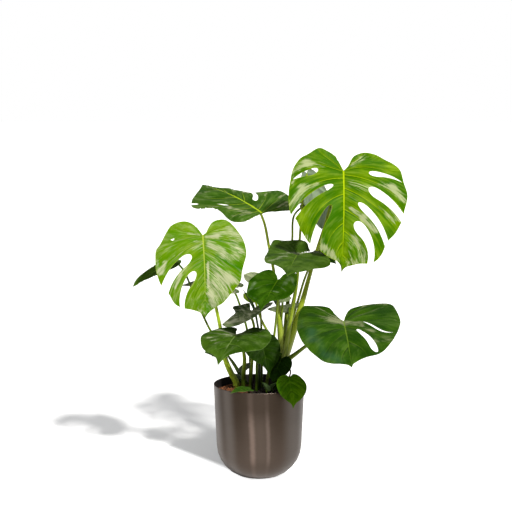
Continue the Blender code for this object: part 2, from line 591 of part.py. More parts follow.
def flat_blade(leaf, margin_steps, cut_steps, rows, columns):
    """The flat blade's points, their (t, s), and its triangles."""
    length = leaf["length"]
    cuts = leaf.get("cuts", (None, None))
    halves = [Half(leaf.get("left", "heart"), length, -1), Half(leaf.get("right", "heart"), length, 1)]
    flat, params, loops = [], [], []
    border = []
    for half, name in zip(halves, cuts):
        path, holes = half_border(half, CUTS[name] if name else [], margin_steps, cut_steps)
        border.append((half, path))
        for hole in holes:
            ts = np.array(hole)
            loops.append((half.at(ts[:, 0], ts[:, 1]), ts))
    left = np.array(border[0][1])
    right = np.array(border[1][1])
    outer = np.vstack([halves[1].at(right[:, 0], right[:, 1]),
                       halves[0].at(left[:, 0], left[:, 1])[-2:0:-1]])
    loops.insert(0, (outer, np.vstack([right, left[-2:0:-1]])))
    edges = []
    for points, ts in loops:
        start = len(flat)
        flat += list(points)
        params += list(ts)
        count = len(points)
        edges += [(start + i, start + (i + 1) % count) for i in range(count)]
    rings = [points for points, _ in loops]
    inner, inner_ts = [], []
    for b in np.linspace(0.03, 0.93, rows):
        inner.append((0.0, b * length))
        inner_ts.append((0.5, 0.0))
    for half in halves:
        for t in (np.arange(columns) + 0.5) / columns:
            for s in (np.arange(1, rows // 2 + 1)) / (rows // 2 + 1):
                inner.append(half.at(t, s))
                inner_ts.append((t, s))
    inner = np.array(inner)
    clear = crossings(inner, rings) & (distance_to(inner, rings) > 0.35 * length / rows)
    keep = []
    for i in np.flatnonzero(clear):
        if all(np.linalg.norm(inner[i] - inner[j]) > 0.35 * length / rows for j in keep):
            keep.append(i)
    flat += [inner[i] for i in keep]
    params += [inner_ts[i] for i in keep]
    made = delaunay_2d_cdt([Vector(p) for p in flat], edges, [], 0, 1e-6, True)
    verts = np.array([tuple(v) for v in made[0]])
    source = [origins[0] for origins in made[3]]
    params = np.array([params[i] for i in source])
    faces = np.array([tuple(f) for f in made[2]])
    faces = faces[crossings(verts[faces].mean(axis=1), rings)]
    return verts, params, faces


def blade_solid(leaf, margin_steps=1, cut_steps=6, rows=5, columns=6):
    """A blade of even thickness: the same triangles above and below, and a wall between."""
    flat, ts, faces = flat_blade(leaf, margin_steps, cut_steps, rows, columns)
    step = 0.05
    t, s = ts[:, 0], ts[:, 1]
    mid = bend(leaf, flat, t, s)
    du = bend(leaf, flat + [step, 0], t, s) - bend(leaf, flat - [step, 0], t, s)
    dv = bend(leaf, flat + [0, step], t, s) - bend(leaf, flat - [0, step], t, s)
    normal = np.cross(du, dv)
    normal /= np.linalg.norm(normal, axis=1)[:, None]
    half = leaf.get("thick", BLADE) / 2
    count = len(mid)
    points = np.vstack([mid + normal * half, mid - normal * half])
    pairs = {}
    for f in faces:
        for i in range(3):
            pairs[(f[i], f[(i + 1) % 3])] = True
    walls = []
    for i, j in pairs:
        if (j, i) not in pairs:
            walls += [(i, i + count, j + count), (i, j + count, j)]
    return points, list(map(tuple, faces)) + [tuple(f[::-1] + count) for f in faces] + walls


def thinned(line, within):
    """The points of a path that are needed to stay this near to it."""
    first, last = line[0], line[-1]
    step = last[:3] - first[:3]
    share = np.clip((line[:, :3] - first[:3]) @ step / (step @ step), 0, 1)[:, None]
    off = np.linalg.norm(first + share * (last - first) - line, axis=1)
    far = int(off.argmax())
    if off[far] < within:
        return np.array([first, last])
    return np.vstack([thinned(line[:far + 1], within)[:-1], thinned(line[far:], within)])


def tube_solid(path):
    """A stalk of round section, with a straight first and last part and a smooth curve between."""
    line = thinned(np.vstack([path[:1], smooth_line(path[1:-1], 4), path[-1:]]), STALK_STEP)
    centre, radius = line[:, :3], line[:, 3]
    sides = STALK_SIDES if radius.max() > THIN_STALK else THIN_SIDES
    steps = np.diff(centre, axis=0)
    steps /= np.linalg.norm(steps, axis=1)[:, None]
    ahead = np.vstack([steps[0], steps[:-1] + steps[1:], steps[-1]])
    ahead /= np.linalg.norm(ahead, axis=1)[:, None]
    side = np.cross(ahead[0], [0.0, 1.0, 0.0])
    points = []
    for i in range(len(centre)):
        side = side - ahead[i] * (side @ ahead[i])
        side /= np.linalg.norm(side)
        other = np.cross(ahead[i], side)
        for k in range(sides):
            turn = 2 * pi * (k + 0.5) / sides
            points.append(centre[i] + radius[i] * (cos(turn) * side + sin(turn) * other))
    faces = []
    for i in range(len(centre) - 1):
        for k in range(sides):
            a, b = i * sides + k, i * sides + (k + 1) % sides
            faces += [(a, b, b + sides, a + sides)]
    faces.append(tuple(range(sides))[::-1])
    last = (len(centre) - 1) * sides
    faces.append(tuple(range(last, last + sides)))
    return np.array(points), faces


def under_blade(name, radius, lead=6.0):
    """The last points of a stalk, which meets the underside of its blade square on."""
    leaf = LEAVES[name]
    _, along, out = blade_axes(leaf)
    turn = np.linspace(0, 2 * pi, 12, endpoint=False)
    middle = 1.4 * radius
    ring = np.stack([radius * np.cos(turn), middle + radius * np.sin(turn)], -1)
    low = ((bend(leaf, ring, 0.5, 0.0) - leaf["at"]) @ out).min()
    foot = np.array(leaf["at"]) + along * middle
    gap = 0.52 * leaf.get("thick", BLADE) + GAP + leaf.get("seat", SEAT) - low
    return [(*(foot - out * (gap + lead)), radius), (*(foot - out * gap), radius)]


def stalk_path(name, path):
    """The whole path: straight up out of its hole, and on to its blade."""
    x, y, z, radius = path[0]
    soil = soil_level(x, y)
    start = [(x, y, soil + GAP - HOLE_DEPTH, radius), (x, y, soil + 2.5, radius)]
    path = start + [p for p in path if p[2] > soil + 9]
    if not name:
        return path
    lead = 6.0 if len(path) > 2 else 4.0
    return path + under_blade(name, path[-1][3] * 0.95, lead)


def soil_level(x, y):
    """Height of the soil's top in mm: a low mound in the middle of the pot."""
    return POT_HEIGHT - SOIL_DROP + SOIL_MOUND * (0.5 + 0.5 * cos(pi * min(hypot(x, y) / 100, 1)))


def pot_profile(inset, floor):
    """(radius, height) from the foot up to the rim, set inwards by a wall's thickness."""
    lean = atan2(WALL_LEAN, POT_HEIGHT)

    def wall(z):
        return RIM_RADIUS - WALL_LEAN * (1 - z / POT_HEIGHT)

    low, high = 0.0, CORNER_RADIUS
    for _ in range(60):
        z = (low + high) / 2
        r = wall(z) - CORNER_RADIUS / cos(lean)
        if (FOOT_RADIUS - r) ** 2 + z**2 < CORNER_RADIUS**2:
            low = z
        else:
            high = z
    radius = CORNER_RADIUS - inset
    first = asin(max(-1.0, (floor - z) / radius))
    points = [(r + radius * cos(a), z + radius * sin(a)) for a in np.linspace(first, -lean, 7)]
    points.append((wall(POT_HEIGHT) - inset / cos(lean), POT_HEIGHT))
    return points


def add_object(name, mesh, colour, roughness=0.5, metallic=0.0):
    obj = bpy.data.objects.new(name, mesh)
    bpy.context.scene.collection.objects.link(obj)
    material = bpy.data.materials.new(name)
    material.use_nodes = True
    surface = material.node_tree.nodes["Principled BSDF"]
    surface.inputs["Base Color"].default_value = COLOURS[colour]
    surface.inputs["Roughness"].default_value = roughness
    surface.inputs["Metallic"].default_value = metallic
    mesh.materials.append(material)
    return obj


def solid_object(name, points, faces, colour, origin=(0, 0, 0), roughness=0.5, metallic=0.0):
    """An object with its origin at a place of its own, given in mm like the points."""
    mesh = bpy.data.meshes.new(name)
    shape = bmesh.new()
    verts = [shape.verts.new(Vector(p - np.array(origin)) * MM) for p in points]
    for face in faces:
        shape.faces.new([verts[int(i)] for i in face])
    shape.normal_update()
    shape.to_mesh(mesh)
    shape.free()
    mesh.shade_smooth()
    mesh.set_sharp_from_angle(angle=radians(50))
    obj = add_object(name, mesh, colour, roughness, metallic)
    obj.location = Vector(origin) * MM
    return obj


def turned(name, profile, colour, roughness, metallic):
    """A closed profile of (radius, height) in mm turned about the pot's axis."""
    shape = bmesh.new()
    ring = [shape.verts.new((r * MM, 0, z * MM)) for r, z in profile]
    edges = [shape.edges.new((a, b)) for a, b in zip(ring, ring[1:])]
    bmesh.ops.spin(shape, geom=ring + edges, cent=(0, 0, 0), axis=(0, 0, 1), angle=2 * pi,
                   steps=POT_SIDES, use_merge=True)
    bmesh.ops.remove_doubles(shape, verts=shape.verts, dist=1e-6)
    bmesh.ops.recalc_face_normals(shape, faces=shape.faces)
    mesh = bpy.data.meshes.new(name)
    shape.to_mesh(mesh)
    shape.free()
    mesh.shade_smooth()
    mesh.set_sharp_from_angle(angle=radians(35))
    return add_object(name, mesh, colour, roughness, metallic)


def boolean(target, tool, operation):
    modifier = target.modifiers.new(operation.lower() + "_" + tool.name, "BOOLEAN")
    modifier.object = tool
    modifier.operation = operation
    modifier.solver = "EXACT"
    tool.hide_render = True
    tool.display_type = "WIRE"


def build_pot():
    outer = pot_profile(0.0, 0.0)
    inner = pot_profile(WALL, FLOOR)
    profile = [(0, 0)] + outer + inner[::-1] + [(0, FLOOR)]
    turned("pot", profile, "pot", 0.35, 1.0)


def build_soil(feet):
    inner = [p for p in pot_profile(WALL + GAP, FLOOR + GAP) if p[1] < POT_HEIGHT - SOIL_DROP - 1]
    top_radius = RIM_RADIUS - WALL_LEAN * SOIL_DROP / POT_HEIGHT - (WALL + GAP) - 0.05
    top = [(r, soil_level(r, 0)) for r in (top_radius, 75, 45, 20)]
    profile = [(0, FLOOR + GAP)] + inner + top + [(0, soil_level(0, 0))]
    soil = turned("soil", profile, "soil", 0.95, 0.0)
    for i, (x, y, radius) in enumerate(feet):
        level = soil_level(x, y)
        shape = bmesh.new()
        wide = (radius + GAP) / cos(pi / HOLE_SIDES) * MM
        depth = HOLE_DEPTH + 12
        middle = (x * MM, y * MM, (level - HOLE_DEPTH + depth / 2) * MM)
        bmesh.ops.create_cone(shape, cap_ends=True, segments=HOLE_SIDES, radius1=wide, radius2=wide,
                              depth=depth * MM, matrix=Matrix.Translation(middle))
        mesh = bpy.data.meshes.new("hole_%d" % i)
        shape.to_mesh(mesh)
        shape.free()
        cutter = bpy.data.objects.new("hole_%d" % i, mesh)
        bpy.context.scene.collection.objects.link(cutter)
        boolean(soil, cutter, "DIFFERENCE")


def build_leaves():
    for name, leaf in LEAVES.items():
        colour = "bright" if name in BRIGHT else "pale" if name in PALE else "dark"
        big = leaf["length"] > 140
        if not big:
            leaf["thick"] = SMALL_BLADE
        if "cuts" in leaf:
            points, faces = blade_solid(leaf, 2, 7, 7, 9)
        elif big:
            points, faces = blade_solid(leaf, 1, 6, 6, 7)
        elif leaf["length"] > 80:
            points, faces = blade_solid(leaf, 1, 6, 5, 5)
        else:
            points, faces = blade_solid(leaf, 1, 6, 4, 4)
        solid_object(name, points, faces, colour, leaf["at"], 0.42)


def build_stalks():
    feet = []
    for name, (leaf, path) in STALKS.items():
        whole = stalk_path(leaf, path)
        points, faces = tube_solid(whole)
        solid_object(name, points, faces, "stalk", whole[0][:3], 0.45)
        feet.append(whole[0][:2] + (path[0][3],))
    return feet


def build_crown():
    x, y, _, radius = CROWN_STOCK[0]
    soil = soil_level(x, y)
    stock = [(x, y, soil - HOLE_DEPTH + GAP, radius), (x, y, soil - 6, radius)] + CROWN_STOCK
    points, faces = tube_solid([p for p in stock if not soil - 5 < p[2] < soil + 5])
    crown = solid_object("crown_right", points, faces, "stalk", stock[0][:3], 0.45)
    for leaf, path in CROWN_STALKS:
        points, faces = tube_solid(path + under_blade(leaf, path[-1][3] * 0.95))
        branch = solid_object("branch_" + leaf, points, faces, "stalk", path[0][:3])
        boolean(crown, branch, "UNION")
    path = AERIAL_ROOT + under_blade("leaf_over_rim", 1.6)
    points, faces = tube_solid(path)
    solid_object("aerial_root", points, faces, "root", path[0][:3], 0.7)
    return [(x, y, radius)]


def main():
    for obj in list(bpy.data.objects):
        bpy.data.objects.remove(obj, do_unlink=True)
    build_pot()
    build_leaves()
    feet = build_stalks() + build_crown()
    build_soil(feet)


main()
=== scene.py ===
"""Looks of the potted swiss cheese plant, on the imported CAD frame.

Every blade, stalk, the soil and the pot is replaced by a finer piece of the same form, with
veins, relief and procedural materials. The tables are in mm and degrees, or in the units
that their comments name. Blender's own units are metres.
"""

from collections import namedtuple
from math import asin, atan2, cos, hypot, pi, radians, sin, sqrt

import bpy
import numpy as np
from mathutils import Matrix, Vector
from mathutils.geometry import delaunay_2d_cdt
from mathutils.kdtree import KDTree


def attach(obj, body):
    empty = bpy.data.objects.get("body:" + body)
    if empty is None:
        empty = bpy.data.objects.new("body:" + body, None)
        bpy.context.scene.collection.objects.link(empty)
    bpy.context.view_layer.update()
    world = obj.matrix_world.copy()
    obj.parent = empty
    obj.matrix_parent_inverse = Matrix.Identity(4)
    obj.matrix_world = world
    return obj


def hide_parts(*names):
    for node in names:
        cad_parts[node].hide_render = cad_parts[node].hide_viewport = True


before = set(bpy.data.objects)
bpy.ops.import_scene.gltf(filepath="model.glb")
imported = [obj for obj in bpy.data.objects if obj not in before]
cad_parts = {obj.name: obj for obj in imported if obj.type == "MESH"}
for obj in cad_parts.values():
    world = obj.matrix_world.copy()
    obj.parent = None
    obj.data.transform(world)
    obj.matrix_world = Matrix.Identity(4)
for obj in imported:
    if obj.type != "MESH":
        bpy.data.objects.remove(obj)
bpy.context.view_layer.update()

MM = 0.001
TINY = 1e-9

# Pot, soil, gaps and vein layout: the same values as the part's own source
RIM_RADIUS = 110.0
POT_HEIGHT = 227.0
WALL_LEAN = 10.2
FOOT_RADIUS = 38.0
CORNER_RADIUS = 81.5
WALL = 1.6
FLOOR = 3.0
SOIL_DROP = 20.0
SOIL_MOUND = 3.0
HOLE_DEPTH = 24.0
GAP = 0.3
BLADE = 1.0
SMALL_BLADE = 0.8
VEIN_START = 0.45
VEIN_POWER = 2.15
VEIN_BOW = 0.2

# Stalks: height over the soil up to which they stand straight and from which their path goes
# on, their straight ends, their radius at the blade by share, and the length of the sheath
STRAIGHT_TO, PATH_FROM = 2.5, 9
LEAD, SHORT_LEAD = 6.0, 4.0
STALK_TAPER = 0.95
SHEATH_LENGTH = 90

# How fine the new pieces are: steps in mm for blades longer than a length, rows and margin
# of a blade's inner points in steps, a cut's points, margin left between two cuts, sides,
# spans, bark chips, and the soil's lumps (height, width, seed). A blade longer than LARGE is
# of the full thickness
LARGE = 140
BLADE_STEPS = ((LARGE, 2.2), (80, 1.7), (0, 1.2))
ROW_STEP, INNER_ROOM = 0.866, 0.55
CUT_LENGTH, LEAST_CUT_POINTS = 44, 8
CUT_ROOM = 0.012
POT_SIDES = 192
RIM_STEPS = 7
SOIL_SIDES = 150
TUBE_STEPS = 7
CHIPS = 420
CHIP_SIZE = (1.2, 3.8)
SKIRT = 14
SOIL_LUMPS = ((1.6, 9, 1), (0.9, 3.4, 2))

# The wave along a blade's margin, and the relief of a blade 200 mm long
WAVE_HEIGHT, WAVES, WAVE_PHASE, WAVE_SIDE = 0.012, 2.5, 0.1, 0.18
PANEL_RISE, VEIN_SINK, RIB_SINK, ROLLING, MARGIN_ROLL = 2.6, 0.9, 1.3, 0.9, 0.8

# Ends of every half outline, in shares of the blade's length
NOTCH = (0, -0.005)
TIP = (0, 1.0)

# A leaf: junction, (heading, pitch, roll), length, (droop, back, cup, fold), look, form, gap
# over its stalk, slot, and whether it casts a shadow: the picture's floor and leaves have
# light where some would shade them
Leaf = namedtuple("Leaf", "at turn length bends look form seat slot shadow", defaults=(
    "green", "heart", 0.15, "leaf_green", True))

# Main side veins of a half blade, three numbers each, in thousandths of the way round its
# margin: at the midrib, halfway and at the margin
VEINS = {
    "top_right": (
        200, 200, 130, 323, 375, 340, 560, 526, 508, 680, 666, 634, 785, 773, 760, 861, 861, 868,
        930, 930, 925),
    "top_left": (
        260, 236, 190, 420, 348, 330, 604, 550, 550, 717, 707, 735, 839, 840, 849, 896, 901, 907),
    "side_left": (
        360, 300, 242, 500, 438, 360, 602, 598, 577, 741, 734, 740, 839, 861, 865, 920, 920, 920),
    "side_right": (
        280, 276, 265, 540, 492, 432, 689, 682, 620, 790, 789, 767, 859, 855, 850, 920, 920, 915),
    "low_left": (
        380, 267, 251, 500, 355, 340, 600, 504, 500, 680, 690, 680, 750, 820, 830, 862, 909, 930),
    "low_right": (200, 215, 230, 330, 360, 320, 590, 527, 521, 660, 729, 690, 827, 861, 880),
    "far_left": (300, 300, 300, 500, 450, 400, 600, 560, 530, 740, 735, 700, 860, 860, 860),
    "far_right": (
        300, 220, 150, 580, 414, 260, 656, 600, 500, 720, 700, 680, 800, 790, 770, 903, 910, 920),
    "mid_left": (400, 300, 250, 529, 462, 395, 640, 600, 600, 740, 751, 770, 850, 870, 880),
    "mid_right": (291, 242, 220, 520, 470, 420, 700, 650, 600, 860, 830, 800),
    "heart_wide_left": (
        400, 330, 250, 534, 500, 450, 650, 660, 650, 770, 790, 800, 860, 900, 910),
    "heart_wide_right": (360, 261, 200, 540, 480, 420, 680, 650, 600, 800, 780, 760),
    "shield_left": (400, 330, 250, 540, 470, 400, 620, 600, 560, 720, 710, 700, 810, 820, 820),
    "shield_right": (285, 285, 260, 498, 440, 390, 656, 615, 575, 786, 758, 740),
}
PLAIN_VEINS = (300, 270, 220, 490, 420, 370, 580, 550, 500, 680, 660, 620, 790, 780, 750)

# Outlines of half blades from notch to tip: x and y by turns, in thousandths of the length
FORMS = {
    "heart": (
        50, -70, 150, -150, 300, -150, 440, -40, 510, 150, 480, 380, 370, 610, 210, 790, 90, 890,
        30, 945),
    "narrow": (
        50, -60, 130, -110, 240, -100, 330, 0, 370, 170, 350, 380, 270, 600, 160, 780, 70, 890,
        20, 950),
    "top_left": (
        43, -88, 90, -157, 168, -202, 241, -227, 349, -164, 434, -113, 498, -18, 531, 119, 550,
        264, 522, 460, 479, 493, 413, 615, 324, 736, 228, 794, 138, 855, 47, 896, 12, 940),
    "top_right": (
        42, -50, 100, -150, 169, -189, 236, -199, 322, -183, 429, -131, 518, -89, 577, -31, 604,
        87, 645, 222, 610, 399, 583, 491, 522, 602, 437, 693, 374, 830, 292, 899, 170, 910, 87,
        933, 35, 956),
    "side_left": (
        27, -42, 75, -104, 143, -155, 222, -173, 313, -159, 384, -122, 438, -47, 525, 100, 570,
        158, 586, 280, 580, 421, 523, 593, 440, 687, 368, 812, 300, 855, 252, 870, 191, 882, 111,
        906, 39, 950),
    "side_right": (
        37, -30, 76, -96, 130, -161, 203, -190, 284, -189, 352, -140, 426, -36, 483, 56, 509,
        149, 516, 251, 481, 362, 457, 452, 437, 560, 373, 637, 291, 733, 211, 820, 130, 868, 72,
        914, 30, 957),
    "low_left": (
        45, -80, 85, -200, 130, -310, 220, -360, 320, -370, 410, -360, 465, -220, 500, 60, 515,
        310, 487, 480, 430, 660, 350, 820, 270, 920, 190, 950, 110, 940, 40, 950),
    "low_right": (
        35, -150, 100, -290, 230, -357, 320, -367, 420, -351, 540, -310, 580, -140, 595, 140,
        570, 260, 510, 460, 437, 633, 356, 760, 276, 820, 177, 842, 80, 890, 20, 940),
    "mid_left": (
        -40, -85, -100, -120, -160, -145, -150, -220, -126, -300, -90, -430, -37, -500, 58, -510,
        179, -487, 289, -471, 371, -485, 420, -460, 433, -350, 433, -151, 425, 110, 427, 279,
        405, 430, 352, 550, 284, 585, 222, 620, 134, 705, 52, 836, 15, 923),
    "mid_right": (
        50, -50, 160, -100, 280, -160, 390, -20, 485, 250, 530, 500, 450, 680, 310, 770, 165,
        840, 60, 880, 20, 930),
    "slim_left": (
        60, -50, 150, -60, 210, 30, 200, 160, 150, 300, 120, 450, 128, 608, 117, 761, 64, 910),
    "slim_right": (
        50, -30, 120, 30, 170, 180, 175, 330, 135, 473, 100, 561, 85, 705, 40, 820, 24, 930),
    "heart_wide_left": (
        65, -114, 150, -191, 262, -250, 364, -236, 467, -141, 539, 26, 575, 194, 536, 363, 478,
        571, 405, 672, 269, 745, 162, 797, 84, 863, 25, 940),
    "heart_wide_right": (
        34, -47, 59, -165, 115, -228, 222, -259, 353, -227, 451, -25, 527, 225, 519, 426, 441,
        579, 294, 652, 137, 708, 50, 800, 20, 900),
    "far_left": (
        30, -12, 74, -30, 118, -73, 181, -110, 260, -145, 350, -120, 420, -20, 470, 90, 480, 180,
        452, 245, 370, 270, 281, 290, 211, 332, 160, 370, 143, 438, 130, 520, 100, 585, 85, 645,
        56, 703, 20, 824, 10, 929),
    "far_right": (
        40, 0, 110, 10, 185, 18, 247, 44, 297, 105, 310, 189, 295, 292, 280, 405, 298, 491, 334,
        563, 370, 640, 376, 710, 314, 781, 184, 862, 77, 940),
    "grey_left": (
        60, 20, 130, 0, 222, -33, 330, -65, 415, -70, 465, 42, 490, 258, 535, 420, 450, 470, 300,
        460, 170, 480, 95, 633, 32, 850, 10, 934),
    "grey_right": (
        -40, -80, -90, -160, -150, -283, -170, -463, -165, -653, -130, -740, -64, -682, 92, -469,
        207, -239, 325, -6, 401, 268, 415, 579, 333, 787, 206, 932, 71, 983),
    "edge_left": (50, -60, 120, -80, 202, -16, 255, 190, 249, 477, 154, 760, 71, 921),
    "edge_right": (
        -10, -150, -30, -300, 20, -420, 151, -505, 250, -450, 262, -230, 218, 96, 149, 465, 89,
        793),
    "hanging_left": (60, -60, 140, 0, 195, 144, 262, 412, 274, 663, 210, 841, 100, 940),
    "hanging_right": (50, -40, 100, 20, 158, 159, 190, 366, 166, 604, 97, 817, 40, 946),
    "front_left": (
        60, -50, 150, -80, 296, -80, 424, -59, 517, 21, 521, 146, 420, 350, 287, 485, 150, 600,
        60, 749, 20, 890),
    "front_right": (
        30, -90, 70, -180, 160, -224, 351, -200, 467, 8, 484, 211, 406, 461, 269, 625, 114, 760,
        43, 860),
    "rim_left": (
        55, -82, 190, -95, 340, -18, 429, 133, 423, 348, 321, 572, 177, 721, 50, 839, 10, 936),
    "rim_right": (
        58, -35, 140, -100, 273, -71, 416, 63, 520, 234, 537, 396, 453, 576, 259, 743, 130, 820,
        55, 904),
    "shield_left": (
        30, -100, 50, -214, 110, -240, 214, -209, 305, -189, 393, -116, 472, -11, 518, 146, 469,
        374, 379, 568, 274, 686, 177, 739, 87, 819, 35, 910),
    "shield_right": (
        50, -60, 90, -130, 131, -211, 195, -279, 316, -287, 431, -264, 522, -153, 571, -7, 585,
        195, 556, 336, 501, 475, 359, 579, 246, 640, 111, 725, 45, 820, 15, 910),
}

# Slits and holes of the half outlines in thousandths: margin places at the inner end, middle
# and mouth, start and end from the midrib (1000 is open at the margin), width inside and at
# the mouth
CUTS = {
    "top_left": (
        (440, 430, 425, 460, 940, 80, 30), (642, 623, 612, 190, 1000, 60, 54),
        (752, 778, 802, 260, 1000, 95, 110)),
    "top_right": (
        (472, 430, 411, 350, 960, 60, 20), (618, 595, 580, 350, 1000, 100, 90),
        (736, 730, 729, 240, 1000, 80, 64), (832, 824, 853, 220, 1000, 120, 62)),
    "side_left": (
        (420, 410, 400, 580, 680, 30, 10), (689, 672, 675, 250, 1000, 120, 120),
        (800, 805, 835, 220, 1000, 120, 55)),
    "low_right": ((590, 683, 648, 310, 960, 45, 20), (720, 811, 843, 190, 930, 130, 80)),
    "far_right": ((714, 722, 729, 270, 500, 20, 12), (712, 706, 700, 860, 1000, 20, 30)),
    "far_left": ((666, 630, 618, 330, 1000, 65, 40), (812, 790, 775, 660, 1000, 20, 30)),
}

LEAVES = {
    "leaf_top_right": Leaf(
        (196, -70, 745), (-89, -66, 6), 237, (30, 15, 22, 10), "bright", form="top", seat=0.32,
        slot="leaf_bright"),
    "leaf_left": Leaf(
        (-132, -60, 594), (-79, -66, -1), 196, (34, 25, 25, 10), "soft", form="side", seat=0.32,
        slot="leaf_bright"),
    "leaf_right": Leaf((199, -72, 392), (-89, -11, -2), 219, (14, -25, 4, 6), form="low"),
    "leaf_top_left": Leaf(
        (8, 30, 639), (136, 24, 22), 236, (22, 1, 22, 2), "lively", form="far", shadow=False),
    "leaf_top_back": Leaf(
        (106, 112, 656), (27, 23, -10), 109, (30, 10, 20, 8), "olive", seat=0.3),
    "leaf_top_hanging": Leaf(
        (115, 55, 734), (24, -72, 56), 142, (14, 5, 15, 6), "teal", form="hanging",
        slot="leaf_pale"),
    "leaf_centre": Leaf(
        (89, -76, 551), (-100, -6, 1), 163, (10, -45, 6, 5), "olive", form="mid", shadow=False),
    "leaf_centre_low": Leaf(
        (43, -110, 496), (-117, -30, 3), 109, (8, -10, 6, 8), "rich", form="heart_wide"),
    "leaf_front_left": Leaf(
        (-54, -70, 360), (-106, -10, 2), 150, (16, -25, 18, 8), "silky", form="shield",
        shadow=False),
    "leaf_front_middle": Leaf(
        (7, -40, 332), (-63, -58, -19), 84, (25, 10, 12, 8), "deep", form="front"),
    "leaf_over_rim": Leaf(
        (70, -95, 262), (-70, -62, -7), 74, (20, 20, 20, 6), "over", form="rim"),
    "leaf_grey": Leaf(
        (-18, -50, 414), (-165, -13, 25), 78, (25, 5, 22, 6), "dusk", form="grey", shadow=False),
    "leaf_back_flat": Leaf(
        (79, 34, 407), (179, -2, -55), 60, (3, 2, 3, 1), "hazy", form="edge", slot="leaf_pale"),
    "leaf_back_pale": Leaf(
        (59, -25, 445), (-120, -8, 10), 44, (25, 10, 20, 8), "hazy", slot="leaf_pale"),
    "leaf_yellow": Leaf(
        (-6, 5, 433), (-148, 31, -35), 45, (20, 10, 20, 8), "lime", slot="leaf_bright"),
    "leaf_pale": Leaf(
        (-5, 38, 476), (-162, 29, -50), 41, (25, 10, 20, 8), "pale", slot="leaf_pale"),
    "leaf_back_left": Leaf(
        (-64, 74, 451), (172, 13, 6), 131, (25, 10, 12, 6), "dusk", seat=0.25, shadow=False),
    "leaf_far_left": Leaf(
        (-196, 45, 523), (-149, -15, 24), 133, (25, 5, 20, 6), "silky", form="slim"),
    "leaf_small_left": Leaf((-108, 44, 291), (-126, 21, 30), 38, (20, 10, 15, 8), seat=0.85),
    "leaf_dark": Leaf((53, -40, 296), (-132, -55, 30), 61, (20, 10, 15, 8), "dark", seat=0.3),
    "leaf_rim_front": Leaf(
        (-22, -80, 231), (-155, 12, 6), 51, (38, 5, 12, 6), form="narrow", slot="leaf_bright"),
    "leaf_small_blue": Leaf((-45, 74, 219), (-155, 54, -30), 25, (15, 10, 15, 8), "teal"),
    "leaf_small_teal": Leaf(
        (-45, 42, 247), (-4, 49, 40), 41, (25, 10, 15, 8), "teal", form="narrow",
        slot="leaf_pale"),
    "leaf_new_left": Leaf((20, -56, 222), (-147, 61, -20), 28, (15, 10, 5, 25), form="narrow"),
    "leaf_new_right": Leaf((28, -44, 221), (-23, 56, 20), 28, (15, 10, 5, 25), form="narrow"),
    "leaf_small_right": Leaf(
        (142, 24, 549), (-20, -25, -30), 57, (25, 10, 15, 8), form="narrow"),
}

# Paths of the stalks, the rolled leaf, the crown's stock and its stalks: x, y, z and radius
STALKS = {
    "stalk_left": [
        (-56, 46, 218, 8), (-69, 42, 244, 7.5), (-82, 32, 279, 6.5), (-90, 20, 330, 5),
        (-95, 10, 369, 4.6), (-102, -4, 408, 4.2), (-115, -24, 471, 3.8), (-126, -42, 538, 3.3)],
    "stalk_far_left": [
        (-39, 84, 212, 3.6), (-62, 80, 256, 3.3), (-92, 74, 302, 3.1), (-119, 67, 344, 2.9),
        (-137, 60, 383, 2.8), (-165, 50, 453, 2.6), (-183, 46, 496, 2.5)],
    "stalk_back_left": [
        (-22, 78, 213, 3.8), (-22, 76, 269, 3.4), (-27, 74, 332, 3.1), (-38, 73, 380, 2.9),
        (-48, 73, 410, 2.8), (-59, 74, 437, 2.6)],
    "stalk_front_left": [
        (-39, 14, 217, 6.2), (-37, -4, 256, 5.5), (-35, -24, 294, 4.6), (-41, -42, 327, 3.6)],
    "stalk_front_middle": [
        (-7, -14, 215, 4.2), (-5, -16, 239, 3.7), (-5, -18, 279, 3.3), (-1, -24, 306, 2.8)],
    "stalk_grey": [
        (-21, 4, 220, 4.4), (-18, -4, 266, 4), (-15, -14, 324, 3.6), (-12, -22, 370, 3.3)],
    "stalk_centre_low": [
        (17, 2, 215, 4.6), (23, -2, 255, 4), (31, -10, 311, 3.5), (38, -28, 363, 3.2),
        (42, -52, 411, 3), (45, -80, 453, 2.7)],
    "stalk_pale": [
        (7, 34, 216, 3.4), (6, 34, 315, 3), (5, 35, 374, 2.8), (1, 38, 425, 2.6),
        (-1, 38, 453, 2.5)],
    "stalk_small_left": [
        (-30, 56, 217, 2.6), (-47, 60, 242, 2.4), (-67, 60, 272, 2.2), (-86, 54, 290, 2)],
    "stalk_rim_front": [(-20, -64, 212, 2.2)],
    "stalk_small_blue": [(-46, 78, 210, 1.8)],
    "stalk_small_teal": [(-41, 38, 214, 2.0)],
    "stalk_new_left": [(22, -58, 210, 1.8)],
    "stalk_new_right": [(31, -40, 210, 1.8)],
    "leaf_rolled": [
        (0, 4, 215, 3.4), (1, 0, 285, 3.2), (0, -4, 347, 2.8), (-5, -12, 382, 2.7),
        (-10, -30, 410, 3.2), (-17, -44, 430, 3.8), (-26, -54, 447, 2.6), (-38, -66, 466, 0.6)],
}
CROWN_STOCK = [(44, 24, 214, 11), (49, 17, 246, 11.5), (54, 13, 277, 12), (61, 10, 300, 11.5)]
